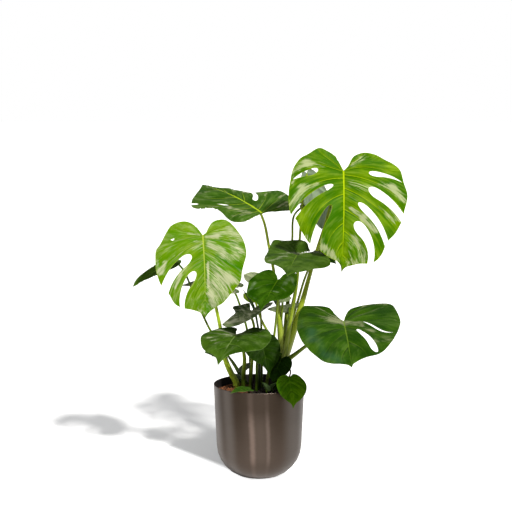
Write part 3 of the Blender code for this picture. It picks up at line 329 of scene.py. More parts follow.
CROWN_STALKS = {
    "leaf_top_left": [
        (61, 14, 287, 11), (54, 6, 333, 9), (45, 0, 427, 5.5), (40, 3, 468, 4.3),
        (33, 10, 515, 3.8), (24, 16, 559, 3.5), (14, 24, 611, 3.3)],
    "leaf_top_back": [
        (60, 24, 287, 8.5), (66, 46, 357, 6.5), (70, 58, 410, 5.5), (74, 66, 458, 4.2),
        (78, 74, 514, 3.3), (82, 82, 570, 2.9), (86, 94, 626, 2.7)],
    "leaf_top_hanging": [
        (61, 16, 290, 8.5), (70, 36, 349, 6.5), (80, 48, 399, 5.2), (87, 48, 436, 4.3),
        (94, 46, 491, 3.5), (99, 46, 574, 3.2), (103, 42, 633, 3), (108, 36, 694, 2.8)],
    "leaf_centre": [
        (61, 4, 287, 8), (70, -4, 347, 6), (79, -16, 405, 4.8), (88, -34, 461, 3.6),
        (92, -54, 507, 3)],
    "leaf_top_right": [
        (53, 13, 262, 11.5), (66, 9, 303, 11.5), (80, 10, 345, 10), (103, 12, 419, 7.2),
        (124, 2, 499, 5), (140, -14, 559, 4.3), (156, -26, 613, 4), (168, -36, 659, 3.8),
        (183, -44, 704, 3.6)],
    "leaf_small_right": [
        (62, 6, 287, 6), (71, 24, 352, 4.6), (93, 46, 415, 3.4), (117, 36, 494, 2.8)],
    "leaf_right": [
        (52, 10, 262, 7.5), (64, 0, 281, 7), (87, -12, 301, 5.4), (114, -26, 325, 4.3),
        (140, -40, 345, 3.8), (168, -54, 364, 3.5)],
    "leaf_back_flat": [(63, 18, 290, 5), (71, 30, 362, 3.2)],
    "leaf_back_pale": [(58, 8, 300, 5), (54, 2, 382, 3)],
    "leaf_yellow": [(56, 12, 290, 7), (36, 14, 326, 4.5), (20, 10, 354, 3.4), (3, 8, 388, 2.8)],
    "leaf_dark": [(60, 4, 285, 5), (59, -16, 291, 3.5)],
}
AERIAL_ROOT = [
    (60, -5.1, 274, 2.0), (66, -22, 272, 1.9), (72, -38, 270, 1.8), (75, -56, 268, 1.7)]

# Painted highlights on the blades: strokes from (x, y) to (x, y), width and strength, in these
# units of the length. A negative strength is painted shade: a darker band on a bright leaf, a
# painted blue-grey reflection on a dark one whose look has a blue-grey shade colour
PAINTED_SHEEN_UNITS = (100, 100, 100, 100, 1000, 100)
PAINTED_SHEEN = {
    "leaf_top_right": [
        (36, 12, 50, 16, 28, 55), (49, 15, 60, 26, 42, 85), (8, 13, 25, 18, 53, 40),
        (30, 23, 45, 32, 22, 60), (45, 32, 57, 47, 32, 75), (42, 43, 50, 49, 28, 60),
        (5, 26, 12, 32, 31, 25), (7, 38, 19, 47, 21, 75), (19, 47, 31, 59, 30, 90),
        (10, 66, 21, 81, 44, 60), (7, 91, 19, 88, 44, 45), (9, -7, 22, -16, 34, 55),
        (34, 35, 44, 44, 17, 30), (5, 71, 9, 85, 23, 30), (-45, -1, -37, -7, 39, 60),
        (-37, -7, -22, -3, 34, 50), (-28, 15, -42, 20, 35, 50), (-42, 20, -53, 40, 45, 75),
        (-50, 1, -51, 15, 19, 45), (-21, 76, -11, 82, 39, 80), (-11, 82, -5, 89, 24, 50),
        (-22, 66, -19, 76, 27, 35), (-36, 66, -33, 73, 23, 50), (-33, 42, -35, 45, 42, 20),
        (-43, -11, -36, -16, 6, 30), (-21, 23, -13, 19, 24, 20), (-8, 18, -9, 72, 75, -75),
        (-30, 50, -24, 62, 70, -60), (7, 50, 8, 80, 50, -45), (-22, -12, -12, -6, 70, -50)],
    "leaf_left": [
        (7, 12, 22, 20, 50, 80), (4, 2, 17, 2, 23, 80), (18, 0, 31, -2, 56, 55),
        (15, 26, 43, 43, 26, -110), (5, 7, 21, 7, 12, -110), (20, 8, 38, 11, 16, -100),
        (6, 69, 10, 85, 48, 80), (4, 34, 4, 62, 13, 90), (10, 36, 27, 56, 79, 58),
        (10, 58, 24, 75, 90, 60), (35, 11, 44, 21, 63, 55), (29, 51, 39, 57, 60, 55),
        (25, 27, 38, 31, 51, 55), (16, -10, 23, -15, 36, -30), (32, -8, 45, 4, 44, 50),
        (2, 85, 4, 94, 36, -90), (40, 35, 46, 41, 42, -60), (-47, 32, -51, 44, 34, 80),
        (-56, 30, -56, 44, 29, 55), (-30, 47, -36, 61, 28, 80), (-22, 37, -30, 47, 21, 45),
        (-18, -2, -4, -1, 19, 60), (-11, 8, -2, 8, 22, 50), (-13, 18, -3, 15, 31, 45),
        (-37, 25, -25, 20, 20, 30), (-47, 17, -37, 13, 25, 20), (-7, 55, -17, 75, 39, 25),
        (-9, 89, -3, 94, 34, 50), (-20, 32, -4, 29, 13, -40), (-42, 70, -38, 79, 35, -30),
        (-19, 81, -9, 81, 50, -20)],
    "leaf_right": [
        (-4, -2, -21, -9, 51, 75), (-5, 2, -15, 3, 62, 70), (-7, -11, -27, -32, 15, 60),
        (-29, -35, -20, -26, 18, 35), (-4, 6, -13, 13, 37, 40), (-36, 30, -38, 52, 50, -90),
        (-22, 83, -15, 88, 71, -70), (-31, 52, -27, 77, 44, -40), (-45, 3, -47, 25, 21, -30),
        (2, 9, 17, 14, 54, 70), (5, 3, 16, 7, 30, 50), (10, -6, 46, -25, 13, 50),
        (12, -19, 25, -34, 10, 45), (22, -35, 52, -30, 22, 50), (17, 21, 31, 39, 25, 40),
        (28, 57, 42, 56, 83, 30), (54, 7, 57, 19, 19, 30), (0, 23, 0, 50, 6, 40)],
    "leaf_top_left": [
        (11, 8, 18, 30, 26, 55), (18, 30, 29, 51, 20, 50), (10, 13, 6, 5, 18, 40),
        (25, 17, 14, 7, 27, 35), (18, 83, 8, 74, 34, 40), (2, 89, 0, 57, 11, 50),
        (15, 66, 7, 47, 17, 25), (20, 47, 7, 30, 14, 30), (-13, 45, -14, 38, 21, 60),
        (-7, 54, -8, 50, 19, 35), (-23, 23, -33, 25, 22, 50), (-33, 12, -48, 16, 22, 50),
        (-20, -2, -33, -2, 36, 60), (-28, 6, -39, 5, 10, -40), (-3, 33, -1, 22, 16, 20)],
    "leaf_centre": [
        (-2, -4, -20, 4, 60, 60), (-15, 21, -31, 44, 44, 55), (-40, 33, -31, 17, 40, 50),
        (-22, -12, -8, -6, 41, 30), (-34, -31, -20, -23, 48, 15), (-34, -46, -1, -50, 13, -30),
        (2, -3, 27, -12, 53, 60), (6, 14, 29, 24, 97, 20), (30, -7, 39, 10, 36, 35)],
    "leaf_centre_low": [
        (-43, 23, -46, 55, 56, 50), (-20, 25, -34, 41, 37, 30), (-20, 6, -37, 17, 35, -30),
        (-35, 64, -17, 72, 31, 35), (-4, 12, -14, 23, 33, 30), (23, -6, 24, 18, 75, 60),
        (32, -6, 45, 16, 40, 50), (0, 37, 20, 43, 21, 60), (18, 26, 36, 37, 21, 40)],
    "leaf_grey": [(-28, 5, -25, 60, 200, -100)],
    "leaf_front_left": [
        (-2, 0, -33, -6, 38, 70), (-5, 8, -32, 10, 29, 60), (-12, 14, -40, 27, 24, 50),
        (-14, 24, -29, 37, 19, 40), (-15, 34, -28, 53, 19, 35), (-25, -11, -41, -10, 59, 50),
        (0, 12, -1, 54, 8, 60), (-10, 44, -17, 67, 16, 30), (6, -1, 28, 0, 57, 45),
        (25, -10, 45, -20, 32, 20), (48, 33, 22, 53, 47, 15), (12, 29, 8, 53, 22, 30)],
}

# Looks of the leaves: six colours in thousandths (deep, light, vein, painted highlight, painted
# shade, underside), then painted haze of the highlight colour, side veins, pale rim, streaks
# between two veins and their crispness. The green look's painted shade is a painted blue-grey
# reflection. The dark and deep looks are near-black greens, painted shade for leaves under
# others; lime, pale, dusk and silky are lighter than those leaves' own colour, painted light
# for leaves that the suns leave in shade
LOOKS = {
    "bright": (
        (18, 68, 0), (94, 160, 0), (210, 270, 1), (215, 240, 115), (18, 72, 0), (90, 140, 20),
        0.06, 0.6, 0.4, 15, 1.3),
    "soft": (
        (38, 105, 0), (88, 150, 2), (230, 270, 30), (235, 250, 140), (18, 85, 0), (90, 140, 20),
        0.25, 0.25, 0.35, 13, 0.75),
    "green": (
        (8, 31, 1), (27, 69, 2), (85, 140, 10), (140, 155, 75), (18, 52, 22), (70, 115, 40),
        0.08, 0.3, 0.2, 7, 1),
    "over": (
        (11, 42, 0), (42, 96, 0), (45, 100, 2), (100, 130, 60), (3, 12, 0), (40, 80, 15), 0.05,
        0.12, 0.2, 5, 1),
    "deep": (
        (2, 9, 0), (8, 24, 0), (35, 65, 4), (60, 75, 45), (2, 8, 0), (30, 60, 15), 0.04, 0.15,
        0.2, 5, 1),
    "olive": (
        (15, 40, 1), (48, 88, 10), (85, 140, 12), (130, 150, 85), (9, 26, 1), (40, 70, 20), 0.05,
        0.25, 0.2, 5, 1),
    "lively": (
        (14, 44, 2), (42, 90, 8), (210, 290, 10), (170, 180, 100), (9, 30, 2), (50, 80, 30),
        0.16, 0.6, 0.2, 6, 1),
    "dark": (
        (1.2, 6, 0), (4, 17, 0), (30, 60, 3), (50, 70, 30), (1, 4, 0), (15, 35, 5), 0.06, 0.1,
        0.2, 5, 1),
    "dusk": (
        (22, 48, 10), (170, 185, 100), (140, 180, 70), (360, 360, 260), (6, 24, 1),
        (180, 205, 110), 0.6, 0.4, 0.2, 3, 1),
    "pale": (
        (160, 210, 80), (300, 360, 190), (340, 420, 180), (400, 430, 300), (80, 120, 30),
        (440, 500, 280), 0.3, 0.4, 0.2, 3, 1),
    "hazy": (
        (60, 85, 30), (130, 165, 75), (200, 250, 100), (260, 290, 190), (40, 60, 20),
        (240, 290, 150), 0.3, 0.4, 0.2, 3, 1),
    "lime": (
        (90, 190, 0), (200, 320, 10), (300, 420, 50), (340, 420, 140), (30, 100, 0),
        (220, 340, 20), 0.2, 0.4, 0.2, 3, 1),
    "rich": (
        (6, 28, 0), (26, 66, 2), (70, 130, 4), (80, 115, 55), (4, 20, 0), (50, 90, 20), 0.03,
        0.2, 0.2, 3, 0.6),
    "silky": (
        (13, 36, 1), (36, 76, 5), (100, 160, 30), (160, 175, 105), (12, 36, 4), (70, 115, 40),
        0.12, 0.35, 0.2, 2.6, 1),
    "teal": (
        (24, 65, 22), (100, 155, 75), (200, 270, 140), (260, 300, 210), (15, 40, 20),
        (160, 210, 130), 0.7, 0.5, 0.2, 4, 1),
}

# Skins of the stalks: material, deep, light, edge and roughness. The bright skin is a lighter
# copy of the stalk skin, painted light for the left stalk, which stands in the shade of leaves
STALK_SKINS = {
    "stalk": ("stalk_green", (0.020, 0.055, 0.0), (0.175, 0.225, 0.015), (0.26, 0.275, 0.10)),
    "bright": ("stalk_bright", (0.045, 0.11, 0.001), (0.25, 0.34, 0.015), (0.36, 0.41, 0.12)),
    "rolled": ("rolled_leaf", (0.012, 0.030, 0.005), (0.04, 0.075, 0.02), (0.09, 0.13, 0.05)),
    "root": ("aerial_root", (0.018, 0.006, 0.003), (0.09, 0.035, 0.014), (0.12, 0.06, 0.02), 0.7),
}
# How yellow and pale each stalk is, from 0 for dark green to 1: partly its own colour, partly
# painted light and shade for how lit it stands
YOUNG_AND_LIT = {
    "stalk_left": 0.85, "stalk_front_left": 0.35, "stalk_grey": 0.4, "stalk_centre_low": 0.45,
    "stalk_pale": 0.3, "leaf_top_left": 0.75, "leaf_top_right": 0.95, "leaf_centre": 0.55,
    "leaf_top_back": 0.35, "leaf_top_hanging": 0.5, "leaf_right": 0.25, "leaf_yellow": 0.5,
    "leaf_small_right": 0.6,
}

# Painted reflections of the studio lights, as streaks on the brushed pot: angle from the front,
# half width, share, tint, and how much of it reaches the rim
POT_PAINTED_REFLECTIONS = (
    (0.0, 0.46, 0.8, (0.088, 0.066, 0.053), 0.35),
    (-0.145, 0.100, 0.9, (0.170, 0.124, 0.102), 0.25),
    (0.215, 0.075, 0.7, (0.142, 0.106, 0.089), 0.2),
    (-0.72, 0.24, 0.75, (0.105, 0.090, 0.080), 0.9),
    (0.86, 0.36, 0.8, (0.090, 0.077, 0.068), 0.9),
    (-1.30, 0.45, 0.85, (0.120, 0.103, 0.092), 1.0),
    (1.32, 0.3, 0.6, (0.11, 0.096, 0.086), 1.0),
)

# Suns: name, strength, angle across, direction and colour
SUNS = (
    ("key", 6.4, 4.5, (-0.63, 1.07, -1.0), (1.0, 0.985, 0.96)),
    ("fill", 1.5, 70.0, (0.25, 0.75, -0.75), (1.0, 1.0, 1.0)),
)
ROOM_LIGHT = 0.34
# The floor's painted light: how strongly it glows near the pot, and a faint even glow everywhere
FLOOR_GLOW = 0.85
FLOOR_BASE_GLOW = 0.05
FLOOR_LEVEL = -0.0005
FLOOR_CORNERS = ((-30, -30), (30, -30), (30, 60), (-30, 60))

# Camera: focal length and sensor in mm, place and far limit in metres, degrees tilted down
LENS = 88.65
SENSOR = 36.0
EYE = (-0.0074, -3.0, 0.898)
FAR = 200
DOWN = 6.84


def smooth_line(points, per):
    """A curve through all the points (centripetal Catmull-Rom), per pieces a span."""
    p = np.array(points, float)
    p = np.vstack([2 * p[0] - p[1], p, 2 * p[-1] - p[-2]])
    knots = np.concatenate([[0], np.cumsum(np.linalg.norm(np.diff(p, axis=0), axis=1) ** 0.5)])
    out = []
    for i in range(1, len(p) - 2):
        k = knots[i - 1:i + 3]
        q = p[i - 1:i + 3]
        for u in np.linspace(k[1], k[2], per, endpoint=False):
            a = [(k[j + 1] - u) / (k[j + 1] - k[j]) * q[j]
                 + (u - k[j]) / (k[j + 1] - k[j]) * q[j + 1] for j in range(3)]
            b = [(k[j + 2] - u) / (k[j + 2] - k[j]) * a[j]
                 + (u - k[j]) / (k[j + 2] - k[j]) * a[j + 1] for j in range(2)]
            out.append((k[2] - u) / (k[2] - k[1]) * b[0] + (u - k[1]) / (k[2] - k[1]) * b[1])
    out.append(p[-2])
    return np.array(out)


class Half:
    """One side of a flat blade. t runs round its margin, s from midrib to margin."""

    PER = 12

    def __init__(self, form, length, side):
        outline = np.array(FORMS[form]).reshape(-1, 2) / 1000
        self.line = smooth_line(np.vstack([NOTCH, outline, TIP]), self.PER) * length
        steps = np.linalg.norm(np.diff(self.line, axis=0), axis=1)
        self.around = steps.sum()
        self.t = np.concatenate([[0], np.cumsum(steps)]) / self.around
        self.length = length
        self.side = side

    def at(self, t, s):
        """Flat points, on curves that leave the midrib and reach the margin as the veins do."""
        t, s = np.broadcast_arrays(np.asarray(t, float), np.asarray(s, float))
        rise = np.clip((t - VEIN_START) / (1 - VEIN_START), 0, None) ** VEIN_POWER
        root = np.stack([0 * rise, rise * self.length], -1)
        edge = np.stack([np.interp(t, self.t, self.line[:, i]) for i in range(2)], -1)
        span = edge - root
        bow = root + span / 2 + np.stack([span[..., 1], -span[..., 0]], -1) * VEIN_BOW
        s = s[..., None]
        flat = (1 - s) ** 2 * root + 2 * s * (1 - s) * bow + s**2 * edge
        return flat * [self.side, 1]

    def slopes(self, t, s, step=2e-3):
        """How the flat points move with t and with s."""
        return [(self.at(t + a, s + b) - self.at(t - a, s - b)) / (2 * step)
                for a, b in ((step, 0), (0, step))]

    def cut(self, cut, count):
        """The edge of a slit or hole as (t, s) points, from its basal side round to the other."""
        t_in, t_mid, t_out, s_in, s_out, inside, mouth = cut
        closed = s_out < 1
        if closed:
            x = (1 - np.cos(np.linspace(0, pi, count))) / 2
        else:
            x = 1 - np.cos(np.linspace(0, pi / 2, count))
        s = s_in + (s_out - s_in) * x
        t = t_in * (1 - x) + t_out * x + (4 * t_mid - 2 * t_in - 2 * t_out) * x * (1 - x)
        ramp = np.clip((x - 0.25) / 0.75, 0, 1)
        width = (inside + (mouth - inside) * ramp) * self.length
        width = width * np.sqrt(np.clip(1 - (1 - np.clip(x / 0.22, 0, 1)) ** 2, 0, 1))
        if closed:
            width = width * np.sqrt(np.clip(1 - np.clip((x - 0.5) / 0.5, 0, 1) ** 2, 0, 1))
        step = 1e-3
        speed = np.linalg.norm(self.at(t + step, s) - self.at(t - step, s), axis=-1) / (2 * step)
        half = width / 2 / np.maximum(speed, 1e-6)
        low, high = list(zip(t - half, s)), list(zip(t + half, s))
        return low[::-1] + high[1:-1 if closed else None]


def blade_axes(leaf):
    """Unit vectors across, along and out of the upper face at the junction."""
    head, pitch, roll = map(radians, leaf.turn)
    along = np.array([cos(pitch) * cos(head), cos(pitch) * sin(head), sin(pitch)])
    up = np.array([-sin(pitch) * cos(head), -sin(pitch) * sin(head), cos(pitch)])
    across = np.cross(up, along)
    out = up * cos(roll) + across * sin(roll)
    return np.cross(out, along), along, out


def bend(leaf, flat, t, s):
    """Points of the flat blade, in mm, moved to where the folded and drooping blade is."""
    across, along, out = blade_axes(leaf)
    droop, back, cup, fold = map(radians, leaf.bends)
    length = leaf.length
    a, b = flat[..., 0], flat[..., 1]
    u = np.abs(a)
    curl = cup / (0.55 * length) + TINY
    lift = fold * (1 - np.exp(-((u / (0.06 * length)) ** 2)))
    x = np.sign(a) * (np.sin(lift) - np.sin(lift - curl * u)) / curl
    w = (np.cos(lift - curl * u) - np.cos(lift)) / curl
    wave = WAVE_HEIGHT * length * np.clip(s, 0, 1) ** 3 * np.sin(pi * t)
    w = w + wave * np.sin(2 * pi * (WAVES * t + WAVE_PHASE + WAVE_SIDE * np.sign(a)))
    turn = np.where(b > 0, droop, back) / length + TINY
    angle = turn * b
    y = np.sin(angle) / turn + w * np.sin(angle)
    z = -(1 - np.cos(angle)) / turn + w * np.cos(angle)
    return x[..., None] * across + y[..., None] * along + z[..., None] * out + leaf.at


def crossings(points, loops):
    """For each point, whether it is inside the loops, counting a hole as outside."""
    inside = np.zeros(len(points), bool)
    for loop in loops:
        for (x0, y0), (x1, y1) in zip(loop, np.roll(loop, -1, axis=0)):
            if y0 == y1:
                continue
            hit = (points[:, 1] > min(y0, y1)) & (points[:, 1] <= max(y0, y1))
            at = x0 + (points[:, 1] - y0) / (y1 - y0) * (x1 - x0)
            inside ^= hit & (points[:, 0] < at)
    return inside


def from_segment(points, start, span):
    """Distance of each point from the segment that spans from start."""
    share = np.clip(((points - start) @ span) / max(span @ span, 1e-12), 0, 1)
    return np.linalg.norm(start + share[:, None] * span - points, axis=1)


def distance_to(points, loops):
    """Distance of each point from the nearest loop."""
    best = np.full(len(points), 1e9)
    for loop in loops:
        for p, q in zip(loop, np.roll(loop, -1, axis=0)):
            best = np.minimum(best, from_segment(points, p, q - p))
    return best


def half_border(half, cuts, margin_steps, cut_steps):
    """(t, s) round the margin with its open slits, and a loop for each closed hole."""
    stops = half.t[::Half.PER]
    places = []
    for low, high in zip(stops[:-1], stops[1:]):
        places += list(np.linspace(low, high, margin_steps, endpoint=False))
    places.append(1.0)
    path, holes, last = [], [], -1.0
    for cut in sorted(cuts, key=lambda c: c[2]):
        edge = half.cut(cut, cut_steps)
        if cut[4] < 1:
            holes.append(edge)
            continue
        path += [(t, 1.0) for t in places if last + CUT_ROOM < t < edge[0][0] - CUT_ROOM]
        path += edge
        last = edge[-1][0]
    path += [(t, 1.0) for t in places if t > last + (CUT_ROOM if last > 0 else 0)]
    return path, holes


def under_blade(name, radius, lead=LEAD):
    """The last points of a stalk, which meets the underside of its blade square on."""
    leaf = LEAVES[name]
    _, along, out = blade_axes(leaf)
    turn = np.linspace(0, 2 * pi, 12, endpoint=False)
    middle = 1.4 * radius
    ring = np.stack([radius * np.cos(turn), middle + radius * np.sin(turn)], -1)
    low = ((bend(leaf, ring, 0.5, 0.0) - leaf.at) @ out).min()
    foot = np.array(leaf.at) + along * middle
    gap = 0.52 * BLADE + GAP + leaf.seat - low
    return [(*(foot - out * (gap + lead)), radius), (*(foot - out * gap), radius)]


def stalk_path(name, path):
    """The whole path: straight up out of its hole, and on to its blade."""
    x, y, _, radius = path[0]
    soil = soil_level(x, y)
    start = [(x, y, soil + GAP - HOLE_DEPTH, radius), (x, y, soil + STRAIGHT_TO, radius)]
    path = start + [p for p in path if p[2] > soil + PATH_FROM]
    if name not in LEAVES:
        return path
    lead = LEAD if len(path) > len(start) else SHORT_LEAD
    return path + under_blade(name, path[-1][3] * STALK_TAPER, lead)


def soil_level(x, y):
    """Height of the soil's top in mm: a low mound in the middle of the pot."""
    return POT_HEIGHT - SOIL_DROP + SOIL_MOUND * (0.5 + 0.5 * cos(pi * min(hypot(x, y) / 100, 1)))


def pot_profile(inset, floor):
    """(radius, height) from the foot up to the rim, set inwards by a wall's thickness."""
    lean = atan2(WALL_LEAN, POT_HEIGHT)

    def wall(z):
        return RIM_RADIUS - WALL_LEAN * (1 - z / POT_HEIGHT)

    low, high = 0.0, CORNER_RADIUS
    for _ in range(60):
        z = (low + high) / 2
        r = wall(z) - CORNER_RADIUS / cos(lean)
        if (FOOT_RADIUS - r) ** 2 + z**2 < CORNER_RADIUS**2:
            low = z
        else:
            high = z
    radius = CORNER_RADIUS - inset
    first = asin(max(-1.0, (floor - z) / radius))
    points = [(r + radius * cos(a), z + radius * sin(a)) for a in np.linspace(first, -lean, 7)]
    points.append((wall(POT_HEIGHT) - inset / cos(lean), POT_HEIGHT))
    return points


def vein_places(form, t, s):
    """Vein coordinate: n on the nth main vein, n + 0.5 midway to the next. Also its slope."""
    knots = np.array(VEINS.get(form, PLAIN_VEINS)).reshape(-1, 3) / 1000
    share = np.stack([(1 - s) * (1 - 2 * s), 4 * s * (1 - s), s * (2 * s - 1)])
    at = np.maximum.accumulate(knots @ share + 0.004 * np.arange(len(knots))[:, None], axis=0)
    at = np.vstack([0 * t - 1e-3, at, 0 * t + 1.001])
    level = np.concatenate([[0.5], np.arange(1, len(knots) + 1), [len(knots) + 0.5]])
    value, slope = 0 * t + 0.5, 0 * t + 1
    for i in range(len(at) - 1):
        here = t >= at[i]
        grade = (level[i + 1] - level[i]) / np.maximum(at[i + 1] - at[i], 1e-3)
        value = np.where(here, level[i] + (t - at[i]) * grade, value)
        slope = np.where(here, grade, slope)
    return value, slope


def area(a, b):
    """Signed area between two flat directions."""
    return a[:, 0] * b[:, 1] - a[:, 1] * b[:, 0]


def find_places(halves, points):
    """Which half each flat point is on, with its t and s."""
    t_all, s_all = np.meshgrid(np.linspace(0, 1, 261), np.linspace(0.015, 1, 27))
    grids = [half.at(t_all, s_all).reshape(-1, 2) for half in halves]
    tree = KDTree(2 * len(grids[0]))
    for i, p in enumerate(np.vstack(grids)):
        tree.insert((p[0], p[1], 0), i)
    tree.balance()
    nearest = np.array([tree.find((x, y, 0))[1] for x, y in points])
    side, pick = np.divmod(nearest, len(grids[0]))
    t, s = t_all.ravel()[pick], s_all.ravel()[pick]
    for k, half in enumerate(halves):
        on = side == k
        tk, sk, want = t[on], s[on], points[on]
        for _ in range(3):
            off = want - half.at(tk, sk)
            dt, ds = half.slopes(tk, sk)
            det = area(dt, ds)
            det = np.where(np.abs(det) < 1e-3, 1e9, det)
            tk = np.clip(tk + np.clip(area(off, ds) / det, -0.01, 0.01), 0, 1)
            sk = np.clip(sk + np.clip(area(dt, off) / det, -0.03, 0.03), 0, 1)
        t[on], s[on] = tk, sk
    return side, t, s


def fine_flat(leaf, step):
    """Flat points of the blade about step mm apart, their places, triangles and rim distance."""
    forms = [leaf.form + "_left", leaf.form + "_right"]
    if forms[0] not in FORMS:
        forms = [leaf.form, leaf.form]
    halves = [Half(form, leaf.length, side) for form, side in zip(forms, (-1, 1))]
    rings, borders = [], []
    for half, form in zip(halves, forms):
        spans = (len(half.line) - 1) // Half.PER
        per = int(np.clip(round(half.around / spans / step), 2, Half.PER))
        cuts = [[v / 1000 for v in cut] for cut in CUTS.get(form, ())]
        path, holes = half_border(half, cuts, per, int(CUT_LENGTH / step) + LEAST_CUT_POINTS)
        borders.append(np.array(path))
        rings += [half.at(*np.array(hole).T) for hole in holes]
    left, right = borders
    rings.insert(0, np.vstack([halves[1].at(*right.T), halves[0].at(*left.T)[-2:0:-1]]))
    flat = np.vstack(rings)
    edges, start = [], 0
    for ring in rings:
        edges += [(start + i, start + (i + 1) % len(ring)) for i in range(len(ring))]
        start += len(ring)
    low, high = flat.min(axis=0), flat.max(axis=0)
    rows = []
    for i, y in enumerate(np.arange(low[1], high[1], step * ROW_STEP)):
        x = np.arange(low[0] + (i % 2) * step / 2, high[0], step)
        rows.append(np.stack([x, 0 * x + y], -1))
    lattice = np.vstack(rows)
    lattice = lattice[crossings(lattice, rings)]
    lattice = lattice[distance_to(lattice, rings) > INNER_ROOM * step]
    points = [Vector(p) for p in np.vstack([flat, lattice])]
    verts, _, faces = delaunay_2d_cdt(points, edges, [], 0, 1e-6, True)[:3]
    verts = np.array([tuple(v) for v in verts])
    faces = np.array([tuple(f) for f in faces])
    faces = faces[crossings(verts[faces].mean(axis=1), rings)]
    side, t, s = find_places(halves, verts)
    value, gap = 0 * t, 0 * t
    for k, half in enumerate(halves):
        on = side == k
        value[on], slope = vein_places(forms[k], t[on], s[on])
        dt, ds = half.slopes(t[on], s[on])
        wide = np.abs(area(dt, ds)) / np.maximum(np.linalg.norm(ds, axis=1), 1e-6)
        gap[on] = np.clip(wide / slope, 0.3, 60)
    return verts, faces, t, s, value, gap, distance_to(verts, rings)


def stroke_weight(name, flat, length, sign):
    """How strongly each point is touched by the leaf's painted strokes of one sign: painted
    highlight for a positive sign, painted shade for a negative one.
    """
    total = np.zeros(len(flat))
    for stroke in np.array(PAINTED_SHEEN.get(name, ())).reshape(-1, 6) / PAINTED_SHEEN_UNITS:
        (start, end), (width, strength) = stroke[:4].reshape(2, 2), stroke[4:]
        if strength * sign > 0:
            off = from_segment(flat, start * length, (end - start) * length) / (width * length)
            total += abs(strength) * np.exp(-0.9 * off**2)
    return np.clip(total, 0, 1.2)


def lumps(p, scale, seed):
    """Smooth rolling values from -1 to 1, one for each point."""
    rng = np.random.default_rng(seed)
    total = np.zeros(len(p))
    for _ in range(6):
        total += np.sin(p @ (rng.normal(size=p.shape[1]) / scale) * 2.2 + rng.uniform(0, 6.3))
    return total / 3.5


def fine_blade(name, leaf):
    """The blade with sunken veins and raised panels between them, as one closed mesh."""
    length = leaf.length
    size = length / 200
    step = next(step for least, step in BLADE_STEPS if length > least)
    flat, faces, t, s, vein, gap, rim = fine_flat(leaf, step)
    e = 0.05
    mid = bend(leaf, flat, t, s)
    du = bend(leaf, flat + [e, 0], t, s) - bend(leaf, flat - [e, 0], t, s)
    dv = bend(leaf, flat + [0, e], t, s) - bend(leaf, flat - [0, e], t, s)
    normal = np.cross(dv, du)
    normal /= np.linalg.norm(normal, axis=1)[:, None]

    off = np.abs(vein - np.round(vein)) * gap
    fade = np.clip(s / 0.08, 0, 1) * np.clip((1.03 - s) / 0.25, 0, 1)
    rib = np.abs(flat[:, 0])
    ahead = np.clip(flat[:, 1] / length, 0, 1) * (flat[:, 1] > -1)
    on_rib = flat[:, 1] > 0
    panel = np.sin(pi * (vein % 1)) ** 2 * np.clip(gap / 30, 0, 1) * fade
    furrow = np.exp(-(off / (1.6 * size + 0.4)) ** 2) * fade
    relief = size * (PANEL_RISE * panel - VEIN_SINK * furrow)
    relief += size * (-RIB_SINK * np.exp(-(rib / (2.6 * size)) ** 2) * (1 - ahead) * on_rib)
    relief += ROLLING * size * lumps(flat / size, 30, sum(map(ord, name))) * np.clip(s, 0, 1)
    margin = lumps(np.stack([t * 60, t * 11], -1), 4, len(name))
    relief += MARGIN_ROLL * size * s**6 * margin * np.clip(1 - t, 0, 1)
    mid = mid + normal * relief[:, None]
    half = (BLADE if length > LARGE else SMALL_BLADE) / 2
    under = half + 0.8 * size * np.exp(-(off / (0.9 * size + 0.2)) ** 2) * fade
    under += 1.6 * size * np.exp(-(rib / (1.5 * size)) ** 2) * (1 - 0.8 * ahead) * on_rib

    count = len(mid)
    points = np.vstack([mid + normal * half, mid - normal * under[:, None]])
    pairs = set(map(tuple, np.concatenate([faces[:, [0, 1]], faces[:, [1, 2]], faces[:, [2, 0]]])))
    walls = []
    for i, j in pairs:
        if (j, i) not in pairs:
            walls += [(i, j + count, i + count), (i, j, j + count)]
    value = {
        "vein": vein, "gap": gap, "rib": rib / min(1.0, length / 215), "rim": rim, "run": s,
        "ahead": flat[:, 1] / length,
        # Weights of the painted highlight strokes and of the painted shade strokes
        "painted_sheen": stroke_weight(name, flat, length, 1),
        "shade": stroke_weight(name, flat, length, -1),
    }
    value = {key: np.concatenate([v, v]) for key, v in value.items()}
    value["top"] = np.concatenate([np.ones(count), np.zeros(count)])
    return points, np.vstack([faces[:, ::-1], faces + count, np.array(walls)]), value


